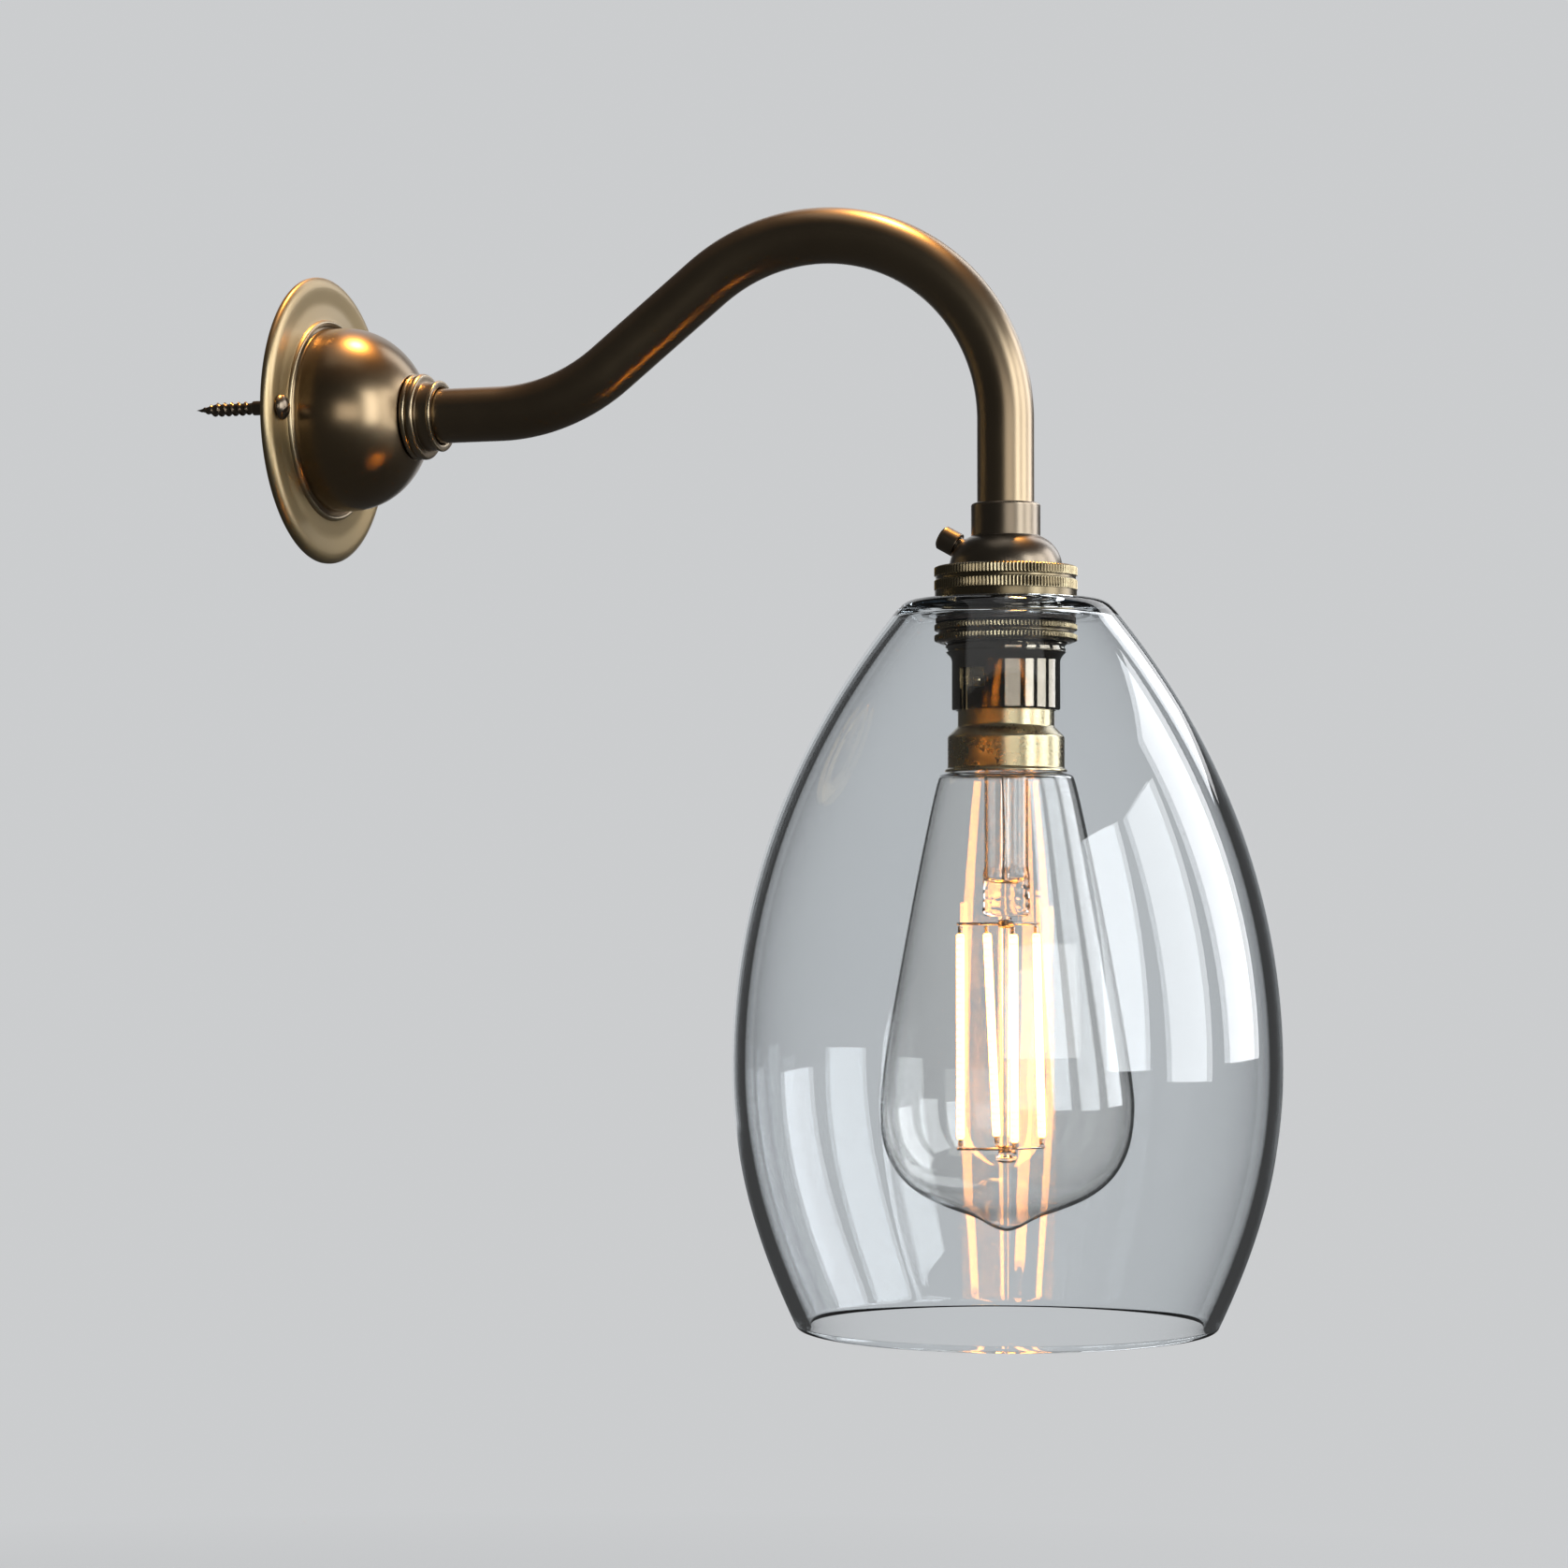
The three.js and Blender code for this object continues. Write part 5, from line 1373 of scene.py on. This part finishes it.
@dataclass
class GlassShade:
    """Open egg-shaped shade of blown glass, the washers on both sides of it and the ring under it."""

    holder: Lampholder
    hole: float = 14.5
    neck_top: float = -48.6
    neck_thickness: float = 3.2
    neck_flat: float = 16.9
    neck_join: float = 0.6
    neck_sweep: float = 2.2
    neck_pulls: tuple[float, float] = (1.0, 1.2)
    hole_round: float = 0.5
    crest_radius: float = 19.4
    crest: float = -47.3
    shoulder_radius: float = 26.8
    shoulder: float = -52.2
    wall: float = 3.0
    widest_radius: float = 62.4
    widest: float = -153.3
    rim_radius: float = 47.9
    rim: float = -213.3
    leave_angle: float = -51.8
    leave_pull: float = 37.1
    upper_pull: float = 37.5
    rim_angle: float = -115.2
    lower_pull: float = 25.0
    rim_pull: float = 15.7
    washer_radius: float = 16.0
    washer_tops: tuple[float, float] = (-47.8, -52.1)
    washer_heights: tuple[float, float] = (0.5, 1.0)
    ring_top: float = -53.4
    ring_height: float = 4.4
    ring_groove_depth: float = 0.95
    ring_bevel: float = 0.6
    ring_edge: float = 1.15
    ring_bevels: tuple[float, float] = (1.4, 0.7)
    ring_groove_slope: float = 0.35
    tooth_overlap: float = 0.2
    sides: int = 256

    def outer_line(self) -> np.ndarray:
        """The outside from the neck to the rim: three cubic stretches that meet smoothly."""
        crest, shoulder = [self.crest_radius, self.crest], [self.shoulder_radius, self.shoulder]
        widest, rim = [self.widest_radius, self.widest], [self.rim_radius, self.rim + self.wall / 2]
        level = [(self.crest_radius + self.shoulder_radius) / 2, self.crest]
        pulls = (
            (level, heading(shoulder, self.leave_angle, self.shoulder - self.crest)),
            (heading(shoulder, self.leave_angle, self.leave_pull), heading(widest, -90, -self.upper_pull)),
            (heading(widest, -90, self.lower_pull), heading(rim, self.rim_angle, -self.rim_pull)),
        )
        return curve((crest, shoulder, widest, rim), pulls, (20, 84, 44))

    def outline(self) -> np.ndarray:
        """The wall's section: the outside, the same line moved in by the wall, the neck and a round rim."""
        outside, top = self.outer_line(), self.neck_top
        foot, flat = top - self.neck_thickness, self.neck_flat
        under = moved_in(outside, self.wall)
        under = under[under[:, 1] < foot - self.neck_join]
        middle = (outside[-1] + under[-1]) / 2
        lean = math.degrees(math.atan2(*(outside[-1] - middle)[::-1]))
        rim = arc(middle, self.wall / 2, lean - 180, lean, 18)[1:-1]
        crest, (leave, arrive), sweep = self.crest_radius, self.neck_pulls, self.neck_sweep
        highest = [crest, self.crest]
        neck = cubic([flat, top], [flat + leave, top], [crest - arrive, self.crest], highest, 8)[:-1]
        start = (under[1] - under[0]) / np.linalg.norm(under[1] - under[0])
        inner_neck = cubic([flat, foot], [flat + sweep, foot], under[0] - sweep * start, under[0], 10)[:-1]
        join = flat - self.neck_join
        hole = [[join, top], [self.hole, top], [self.hole, foot], [join, foot]]
        hole = rounded(hole, self.hole_round, closed=False)
        return chain(hole, inner_neck, under, rim, outside[::-1], neck[::-1])

    def build_washers(self, shop: Workshop) -> None:
        """Makes the two fibre washers."""
        pieces = (
            ("upper_fibre_washer", Body.FIXTURE, "shade_washer_upper"),
            ("lower_fibre_washer", Body.SHADE, "shade_washer_lower"),
        )
        bore, outer = self.holder.ring_bore, self.washer_radius
        for (name, body, node), top, height in zip(pieces, self.washer_tops, self.washer_heights):
            section = [[bore, top - height], [outer, top - height], [outer, top], [bore, top]]
            washer = spun(section, reach=0.12, longest=0.8, sides=128)
            shop.piece(name, washer, body, Slot.FIBRE, node)

    def build_ring(self, shop: Workshop) -> None:
        """Makes the shade ring: two thin knurled flanges with a groove between them."""
        bore, outer = self.holder.ring_bore, self.holder.ring_radius
        top, bevel, slope = self.ring_top, self.ring_bevel, self.ring_groove_slope
        below, above = self.ring_bevels
        foot, groove = top - self.ring_height, outer - self.ring_groove_depth
        lower_top, upper_foot = foot + bevel + self.ring_edge, top - bevel / 2 - self.ring_edge
        section = chain(
            [[bore, foot], [outer - below, foot], [outer, foot + bevel], [outer, lower_top]],
            [[groove, lower_top + slope], [groove, upper_foot - slope], [outer, upper_foot]],
            [[outer, top - bevel / 2], [outer - above, top], [bore, top]],
        )
        more = self.tooth_overlap
        rows = [(foot + bevel / 2, lower_top + more), (upper_foot - more, top)]
        outline = smooth(section, reach=0.2, longest=0.9, steps=3)
        ring = self.holder.knurled(outline, rows, fade=0.3)
        shop.piece("knurled_shade_ring", ring, Body.RING, Slot.KNURLED, "shade_ring")

    def build(self, shop: Workshop) -> None:
        """Makes the shade, its washers and its ring."""
        glass = turned(self.outline(), self.sides)
        shop.piece(
            "blown_glass_shade", glass, Body.SHADE, Slot.SHADE_GLASS, "glass_shade", crease=GLASS_CREASE
        )
        self.build_washers(shop)
        self.build_ring(shop)


@dataclass
class FilamentLamp:
    """Pear-shaped filament lamp with a bayonet cap."""

    cap_radius: float = 11.0
    cap_sheet: float = 0.6
    cap_top: float = -62.1
    top_round: float = 0.9
    mouth: float = 9.6
    cone_top: float = -76.6
    cone_foot: float = -78.9
    collar_radius: float = 13.3
    collar_foot: float = -86.2
    lip_radius: float = 13.9
    lip_length: float = 0.7
    lip_step: float = 0.2
    insulator_top: float = -61.3
    insulator_height: float = 2.8
    insulator_flange: float = 1.2
    insulator_gap: float = 0.45
    insulator_bevel: float = 0.8
    pad_radius: float = 2.2
    pad_height: float = 0.5
    pin_angle: float = 163.5
    pin_radius: float = 1.0
    pin_reach: float = 13.1
    pin_height: float = -66.7
    contact_angle: float = 73.5
    contact_offset: float = 4.2
    wall: float = 0.7
    neck_top: float = -80.6
    neck_radius: float = 12.2
    shoulder: float = -88.3
    shoulder_radius: float = 15.5
    widest: float = -162.0
    widest_radius: float = 29.0
    tip_shoulder: float = -188.8
    tip_shoulder_radius: float = 4.6
    tip: float = -190.5
    leave_angle: float = -68.0
    leave_pull: float = 5.0
    neck_pull: float = 1.6
    upper_pull: float = 9.0
    lower_pull: float = 23.0
    tip_angle: float = -146.4
    tip_pull: float = 8.4
    tip_length: float = 1.4
    row: float = 1.4
    stem_radius: float = 5.05
    stem_glass: float = 0.8
    stem_row: float = 0.6
    flare_radius: float = 11.2
    flare_top: float = -80.9
    flare_foot: float = -86.6
    press_radius: float = 5.35
    press_top: float = -110.0
    press_flat: float = 0.16
    press_lump: float = 0.22
    stem_foot: float = -119.5
    stem_floor: float = -112.0
    exhaust_radius: float = 1.05
    exhaust_bore: float = 0.5
    exhaust_top: float = -72.6
    lead_offset: float = 2.4
    lead_radius: float = 0.35
    lead_bow: float = 0.35
    lead_sway: float = 0.3
    driver_top: float = -69.2
    driver_height: float = 1.2
    arbor_radius: float = 1.0
    arbor_foot: float = -172.8
    arbor_flare: float = 0.25
    arbor_flare_length: float = 3.0
    button_radius: float = 2.5
    button_length: float = 2.2
    wire_radius: float = 0.3
    filament_circle: float = 10.4
    weld: float = 0.1
    hub_turns: float = 2.6
    hub_half: float = 0.7
    filament_radius: float = 0.95
    filament_top: float = -121.8
    filament_foot: float = -171.5
    top_angles: tuple[float, ...] = (105.0, 40.6, -156.1, -26.6)
    foot_angles: tuple[float, ...] = (105.0, 27.2, -155.0, -36.2)
    sides: int = 160
    tab_length: float = 1.7
    tab_radius: float = 0.55
    wire_round: float = 0.08
    end_round: float = 0.1
    filament_round: float = 0.35

    def build_cap(self, shop: Workshop) -> None:
        """Makes the brass cap from its section, with a crimped lip."""
        sheet, top, foot = self.cap_sheet, self.cap_top, self.collar_foot - self.lip_length
        inner, collar_inner, step = self.cap_radius - sheet, self.collar_radius - sheet, self.lip_step
        section = chain(
            [[collar_inner, foot], [self.lip_radius, foot], [self.lip_radius, self.collar_foot - step]],
            [[self.collar_radius, self.collar_foot + step], [self.collar_radius, self.cone_foot]],
            [self.cap_radius, self.cone_top],
            arc((self.cap_radius - self.top_round, top - self.top_round), self.top_round, 0, 90, 8),
            [[self.mouth, top], [self.mouth, top - sheet], [inner, top - self.top_round]],
            [[inner, self.cone_top - sheet / 2], [collar_inner, self.cone_foot - sheet / 2]],
        )
        cap = spun(section, reach=0.45, longest=0.7, sides=self.sides, steps=6)
        shop.piece("lamp_cap", cap, Body.BULB, Slot.LAMP, "bulb_cap")

    def build_pins(self, shop: Workshop) -> None:
        """Makes the two bayonet pins, each with a domed end."""
        reach = np.linspace(self.cap_radius + GAP, self.pin_reach, 12)
        left = unit(2 * (self.pin_reach - reach) / self.pin_radius)
        radius = self.pin_radius * np.sqrt(np.clip(1 - (1 - left) ** 2, 0.04, 1))
        for side, turn in (("left", 0.0), ("right", 180.0)):
            path = polar(reach, math.radians(self.pin_angle + turn), self.pin_height)
            rings = rings_along(path, radius, 32, UP)
            poles = np.repeat(path[[0, -1], None], 32, axis=1)
            pin = lattice(np.concatenate([poles[:1], rings, poles[1:]]))
            shop.piece(f"{side}_pin", pin, Body.BULB, Slot.LAMP, f"bulb_pin_{side}")

    def build_top(self, shop: Workshop) -> None:
        """Makes the black glass in the cap's mouth and the two contacts in it."""
        top, foot = self.insulator_top, self.insulator_top - self.insulator_height
        inner, button = self.cap_radius - self.cap_sheet - self.insulator_gap, self.mouth - GAP
        flange = foot + self.insulator_flange
        section = chain(
            [[0, foot], [inner, foot], [inner, flange], [button, flange]],
            [[button, top - self.pad_height], [button - self.insulator_bevel, top], [0, top]],
        )
        glass = spun(section, reach=0.3, longest=0.8, sides=96, closed=False)
        shop.piece("cap_black_glass", glass, Body.BULB, Slot.BLACK_GLASS, "bulb_insulator")
        base = top + GAP
        dome = arc((0, base), (self.pad_radius, self.pad_height), 4, 90, 12)
        pad = chain([[0, base], [self.pad_radius, base]], dome)
        pad[-1, 0] = 0.0
        for core, turn in (("live", 0.0), ("neutral", 180.0)):
            place = polar(self.contact_offset, math.radians(self.contact_angle + turn))
            contact = turned(pad, 48, False).moved(*place)
            shop.piece(f"{core}_contact", contact, Body.BULB, Slot.SOLDER, f"contact_pad_{core}")

    def glass(self, shop: Workshop, name: str, surface: Surface, node: str) -> None:
        """Makes a piece of the lamp's glass."""
        shop.piece(name, surface, Body.BULB, Slot.LAMP_GLASS, node, crease=GLASS_CREASE)

    def build_pear(self, shop: Workshop) -> None:
        """Makes the pear: its outside in cubic stretches, and the same line moved in by the wall."""
        foot, neck = self.collar_foot - self.lip_length, self.neck_radius
        shoulder, widest = [self.shoulder_radius, self.shoulder], [self.widest_radius, self.widest]
        tip = [self.tip_shoulder_radius, self.tip_shoulder]
        pulls = (
            ([neck + 0.1, foot - 0.6], heading(shoulder, self.leave_angle, -self.neck_pull)),
            (heading(shoulder, self.leave_angle, self.leave_pull), heading(widest, -90, -self.upper_pull)),
            (heading(widest, -90, self.lower_pull), heading(tip, self.tip_angle, -self.tip_pull)),
            (heading(tip, self.tip_angle, self.tip_length), [self.tip_length, self.tip]),
        )
        points = ([neck, foot + 0.2], shoulder, widest, tip, [0.0, self.tip])
        outside = chain([neck, self.neck_top], curve(points, pulls, (14, 60, 44, 12)))
        outside = even_rows(outside, self.row, closed=False)
        inside = moved_in(outside, self.wall)
        inside[-1, 0] = 0.0
        falling = np.append(np.diff(inside[:, 1]) < 0, True)
        inside = inside[falling | (inside[:, 1] > self.shoulder - 2)]
        inside[:, 0] = np.maximum(inside[:, 0], 0.0)
        self.glass(shop, "pear_glass", turned(chain(outside[::-1], inside), self.sides, False), "bulb_glass")

    def build_stem(self, shop: Workshop) -> None:
        """Makes the glass mount: flared tube, flattened press with slow waves, and exhaust tube."""
        outer, inner, flare = self.stem_radius, self.stem_radius - self.stem_glass, self.flare_radius
        press, foot, floor = self.press_radius, self.stem_foot, self.stem_floor
        middle, top, bend = (outer + flare) / 2, self.flare_top - self.stem_glass, self.flare_foot
        section = chain(
            [0, foot],
            cubic(
                [press - 1.2, foot], [press + 0.2, foot], [press + 0.1, foot + 1], [press, foot + 2.4], 10
            ),
            [[press, self.press_top], [outer, self.press_top + 1.4]],
            cubic([outer, bend - 2], [outer, bend + 1.5], [middle, top], [flare, top], 16),
            cubic(
                [flare, self.flare_top],
                [middle - 0.5, self.flare_top],
                [inner, bend + 2],
                [inner, bend - 2],
                16,
            ),
            [inner, floor + 2.0],
            cubic([inner, floor + 1.6], [inner, floor], [inner / 2, floor], [0, floor], 8),
        )
        outline = even_rows(section, self.stem_row, closed=False)
        height, radius, angles = outline[:, 1:], outline[:, :1], around(96)
        pressed = unit((self.press_top + 2 - height) / 4.0)
        flat = -self.press_flat * (0.5 + 0.5 * np.cos(2 * angles)) * radius
        lumps = self.press_lump * np.sin(3 * angles + 1.7 * height) * np.sin(1.3 * height + 0.4)
        ripple = pressed * (flat + lumps * np.minimum(radius / 3.0, 1.0))
        self.glass(shop, "glass_mount", turned(outline, len(angles), False, ripple), "bulb_stem")
        bore, wall, top, foot = self.exhaust_bore, self.exhaust_radius, self.exhaust_top, floor + GAP
        section = [[bore, foot], [wall, foot], [wall, top], [bore, top]]
        tube = spun(section, reach=0.15, longest=2.0, sides=48)
        self.glass(shop, "exhaust_tube", tube, "bulb_exhaust_tube")

    def build_rod(self, shop: Workshop) -> None:
        """Makes the glass rod under the mount and the button melted on its end."""
        foot, top = self.arbor_foot, self.stem_foot - GAP
        height = np.linspace(foot, top, 60)
        wider = unit((height - top + self.arbor_flare_length) / self.arbor_flare_length)
        radius = self.arbor_radius * (1 + self.arbor_flare * wider**2)
        outline = chain([0, foot], np.stack([radius, height], axis=1), [0, top])
        self.glass(shop, "glass_rod", turned(outline, 48, False), "bulb_arbor")
        half = self.button_length / 2
        button = arc((0, foot - GAP - half), (self.button_radius, half), -90, 90, 28)
        button[[0, -1], 0] = 0.0
        self.glass(shop, "glass_button", turned(button, 64, False), "bulb_button")

    def build_supports(self, shop: Workshop) -> None:
        """Makes the two wire spiders: a wound hub on the rod and wires out to the filaments."""
        hub_radius = self.arbor_radius + GAP + self.wire_radius
        reach = self.filament_circle + self.filament_radius - self.weld
        for level, base, side, angles in (
            ("upper", self.filament_top, 1, self.top_angles),
            ("lower", self.filament_foot, -1, self.foot_angles),
        ):
            height = base + side * (GAP + self.wire_radius)
            turns = np.linspace(0, self.hub_turns * TURN, 90)
            paths = [polar(hub_radius, turns, height + np.linspace(-self.hub_half, self.hub_half, 90))]
            for angle in np.radians(angles):
                paths.append(straight(polar(hub_radius, angle, height), polar(reach, angle, height), 10))
            wires = [rod(path, self.wire_radius, 10, UP, self.wire_round) for path in paths]
            support = Surface.joined(wires)
            shop.piece(f"{level}_wire_support", support, Body.BULB, Slot.STEEL, f"bulb_support_{level}")

    def build_filaments(self, shop: Workshop) -> None:
        """Makes the four glowing rods and the metal tabs at their ends."""
        tabs: list[Surface] = []
        for number, angles in enumerate(zip(self.top_angles, self.foot_angles), start=1):
            heights = (self.filament_top, self.filament_foot)
            top, foot = polar(self.filament_circle, np.radians(angles), heights)
            tab = self.tab_length * (top - foot) / np.linalg.norm(top - foot)
            path = straight(foot + tab, top - tab, 40)
            glowing = rod(path, self.filament_radius, 32, SIDEWAYS, self.filament_round)
            node = f"bulb_filament_{number}"
            shop.piece(f"filament_{number}", glowing, Body.BULB, Slot.FILAMENT, node, crease=SOFT_CREASE)
            for start, end in ((foot, foot + tab), (top - tab, top)):
                path = straight(start, end, 3)
                tabs.append(rod(path, self.tab_radius, 16, SIDEWAYS, self.end_round))
        shop.piece("filament_tabs", Surface.joined(tabs), Body.BULB, Slot.STEEL)

    def build_leads(self, shop: Workshop) -> None:
        """Makes the two lead wires in the mount, with a slight bow in each."""
        top, foot = self.driver_top - self.driver_height - GAP, self.stem_floor + GAP
        share = np.linspace(0, 1, 50)
        out = self.lead_offset - self.lead_bow * np.sin(math.pi * share)
        for name, side in (("left", -1), ("right", 1)):
            aside = self.lead_sway * side * np.sin(TURN * share)
            path = np.stack([side * out, aside, foot + (top - foot) * share], axis=1)
            lead = rod(path, self.lead_radius, 14, SIDEWAYS, self.end_round)
            shop.piece(f"{name}_lead", lead, Body.BULB, Slot.STEEL, f"bulb_lead_{name}")

    def build(self, shop: Workshop) -> None:
        """Makes every piece of the lamp."""
        self.build_cap(shop)
        self.build_pins(shop)
        self.build_top(shop)
        self.build_pear(shop)
        self.build_stem(shop)
        self.build_rod(shop)
        self.build_supports(shop)
        self.build_filaments(shop)
        self.build_leads(shop)


@dataclass
class PlungerSprings:
    """Two compression springs behind the plungers, in millimetres."""

    coil_radius: float = 1.9
    wire_radius: float = 0.3
    turns: float = 4.0
    steps: int = 161
    sides: int = 12
    press: float = 1.5
    end_round: float = 0.1

    def build(self, shop: Workshop) -> None:
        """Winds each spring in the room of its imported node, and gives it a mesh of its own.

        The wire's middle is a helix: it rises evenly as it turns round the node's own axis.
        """
        share = np.linspace(0, 1, self.steps)
        for core in ("live", "neutral"):
            node = f"plunger_spring_{core}"
            low, high = (np.array(corner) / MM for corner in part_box(node))
            middle = (low + high) / 2
            rise = low[2] + self.wire_radius + (high[2] - low[2] - 2 * self.wire_radius) * share
            path = polar(self.coil_radius, TURN * self.turns * share, rise) + middle * (1, 1, 0)
            wire = rod(path, self.wire_radius, self.sides, UP, self.end_round)
            name = f"{core}_plunger_spring"
            piece = shop.piece(
                name, wire, Body.FIXTURE, Slot.STEEL, node, place=shop.world, crease=SOFT_CREASE
            )
            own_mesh(piece)


@dataclass
class Studio:
    """Camera, lights, floor and surroundings, in metres."""

    camera_place: tuple[float, float, float] = (-0.8439, -0.3974, -0.1118)
    ahead: tuple[float, float] = (0.9492, 0.3147)
    pitch: float = 1.48
    lens: float = 88.07
    sensor: float = 36.0
    middle: tuple[float, float, float] = (0.0, -0.13, -0.10)
    floor_height: float = -0.46
    pale_colour: Colour = (0.60, 0.61, 0.62)
    sky_light: float = 0.5
    floor_radius: float = 6.0
    haze: tuple[float, float] = (0.62, 1.3)
    card_distance: float = 3.2
    card_grey: float = 0.05
    card_clearance: float = 0.01
    clip: tuple[float, float] = (0.01, 50.0)

    def direction(self, azimuth: Values, elevation: Values) -> np.ndarray:
        """Directions from the object, in degrees from the camera's towards its right and up.

        Each is the level direction times the elevation's cosine, with its sine as the height.
        """
        turn, rise = (np.radians(np.asarray(angle, float))[..., None] for angle in (azimuth, elevation))
        ahead, right = np.array([*self.ahead, 0.0]), np.array([self.ahead[1], -self.ahead[0], 0.0])
        level = right * np.sin(turn) - ahead * np.cos(turn)
        return level * np.cos(rise) + np.array(UP) * np.sin(rise)

    def build_camera(self) -> None:
        """Sets the camera at the photograph's angle."""
        data = bpy.data.cameras.new("camera")
        data.lens = self.lens
        data.sensor_width = self.sensor
        data.clip_start, data.clip_end = self.clip
        camera = linked("camera", data)
        camera.location = self.camera_place
        camera.rotation_mode = "QUATERNION"
        camera.rotation_quaternion = Vector(self.direction(180, self.pitch)).to_track_quat("-Z", "Y")
        bpy.context.scene.camera = camera

    def softbox(
        self,
        name: str,
        azimuth: float,
        elevation: float,
        distance: float,
        size: tuple[float, float],
        radiance: float,
        colour: Colour = (1.0, 1.0, 1.0),
        glints_only: bool = False,
    ) -> None:
        """Adds an area light that faces the object.

        Args:
            name: the light's name.
            azimuth: degrees to the camera's right.
            elevation: degrees above the horizon.
            distance: metres from the object's middle.
            size: width and height in metres.
            radiance: brightness of its face.
            colour: its colour.
            glints_only: True if it shows in reflections but doesn't light dull surfaces.
        """
        data = bpy.data.lights.new(name, "AREA")
        data.shape = "RECTANGLE"
        data.size, data.size_y = size
        data.color = colour
        data.energy = radiance * size[0] * size[1] * math.pi
        light = linked(name, data)
        out = Vector(self.direction(azimuth, elevation))
        light.location = Vector(self.middle) + out * distance
        light.rotation_mode = "QUATERNION"
        light.rotation_quaternion = out.to_track_quat("Z", "Y")
        light.visible_camera = False
        light.visible_diffuse = not glints_only

    def surround(self, name: str, azimuths: Sequence[float], elevations: Sequence[float]) -> None:
        """Adds a curved dark card that shows in reflections only.

        Its points are a part of a sphere: the distance times the direction of each turn and rise.
        The part below the floor is raised to lie just above it.

        Args:
            name: the card's name.
            azimuths: first and last, in degrees to the camera's right.
            elevations: lowest and highest, in degrees above the horizon.
        """
        turn, rise = np.meshgrid(np.linspace(*azimuths, 65), np.linspace(*elevations, 33), indexing="ij")
        points = self.direction(turn, rise) * self.card_distance + np.array(self.middle)
        points[..., 2] = np.maximum(points[..., 2], self.floor_height + self.card_clearance)
        index = np.arange(turn.size).reshape(turn.shape)
        corners = np.stack([index[:-1, :-1], index[1:, :-1], index[1:, 1:], index[:-1, 1:]], axis=-1)
        mesh = bpy.data.meshes.new(name)
        mesh.from_pydata(points.reshape(-1, 3).tolist(), [], corners.reshape(-1, 4).tolist())
        card = linked(name, mesh)
        sheet = NodeSheet(bpy.data.materials.new(name))
        dark = sheet.node("Emission", {"Color": as_rgba((self.card_grey,) * 3)}).outputs[0]
        mirrored = sheet.maths("GREATER_THAN", sheet.node("LightPath").outputs["Glossy Depth"], 0.5)
        sheet.show(sheet.mixed(mirrored, sheet.node("BsdfTransparent").outputs[0], dark))
        mesh.materials.append(sheet.owner)
        card.visible_camera = False
        card.visible_diffuse = False
        card.visible_shadow = False

    def build_world(self) -> None:
        """Makes the even surroundings: pale where seen, and soft as a light."""
        world = bpy.data.worlds.new("surroundings")
        bpy.context.scene.world = world
        sheet = NodeSheet(world, "World")
        colours = ((self.sky_light,) * 3, self.pale_colour)
        lit, shown = (sheet.node("Background", {"Color": as_rgba(c)}).outputs[0] for c in colours)
        sheet.show(sheet.mixed(sheet.seen(), lit, shown))

    def build_floor(self) -> None:
        """Makes a round pale floor below the light, which fades into the surroundings."""
        radii = np.array([[self.floor_radius], [0.0]])
        disc = lattice(polar(radii, around(96), self.floor_height) / MM)
        floor = make_object("floor", disc, Placement(np.eye(3), np.zeros(3)))
        sheet = NodeSheet(bpy.data.materials.new("floor"))
        pale = as_rgba(self.pale_colour)
        painted = sheet.principled(Base_Color=pale, Roughness=1.0, Specular_IOR_Level=0.0)
        place = sheet.node("TexCoord").outputs["Object"]
        distance = sheet.node("VectorMath", {0: place}, operation="LENGTH").outputs["Value"]
        far = sheet.maths("MULTIPLY", sheet.scaled(distance, *self.haze), sheet.seen())
        sheet.show(sheet.mixed(far, painted.outputs[0], sheet.node("Emission", {"Color": pale}).outputs[0]))
        floor.data.materials.append(sheet.owner)

    def build(self) -> None:
        """Makes the whole studio."""
        self.build_camera()
        self.build_world()
        self.build_floor()
        self.softbox("window_front", 12, 8, 1.5, (0.84, 0.50), 2.3, (1.0, 0.99, 0.97))
        self.softbox("window_side", 48, 15, 1.4, (0.44, 0.95), 6.4, (0.93, 0.97, 1.0))
        self.softbox("window_middle", 77, 14, 1.4, (0.55, 1.0), 5.0, (0.95, 0.98, 1.0))
        self.softbox("window_far_side", 110, 17, 1.4, (0.60, 1.05), 4.4, (0.97, 0.98, 1.0))
        self.softbox("window_behind", 144, 35, 1.4, (0.40, 1.05), 2.1, (0.97, 0.98, 1.0))
        self.softbox("warm_above", 156, 74, 3.0, (0.32, 0.32), 400.0, (1.0, 0.47, 0.11), True)
        self.softbox("sky", 0, 88, 1.7, (1.2, 1.2), 0.4)
        self.surround("dark_surround", (-164, 164), (-8, 84))
        self.surround("dark_floor", (-180, 180), (-90, -8))


def main() -> None:
    """Builds and dresses the light, and sets up the studio."""
    logging.basicConfig(level=logging.INFO, format="%(name)s: %(message)s")
    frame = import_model()
    neck = SwanNeck()
    shop = Workshop(frame["nodes"], neck.reach)
    Studio().build()
    plate = WallPlate()
    plate.build(shop)
    WallScrew(-plate.screw_offset, slot_angle=38.0).build(shop, "left")
    WallScrew(plate.screw_offset, slot_angle=-24.0).build(shop, "right")
    neck.build(shop)
    Collar().build(shop)
    holder = Lampholder()
    holder.build(shop)
    GlassShade(holder).build(shop)
    FilamentLamp().build(shop)
    PlungerSprings().build(shop)
    shop.keep()
    bpy.context.scene.view_settings.view_transform = "Standard"
    bpy.context.scene.cycles.max_bounces = 24
    bpy.context.scene.cycles.transmission_bounces = 24
    bpy.context.scene.cycles.glossy_bounces = 8


if __name__ == "__main__":
    main()
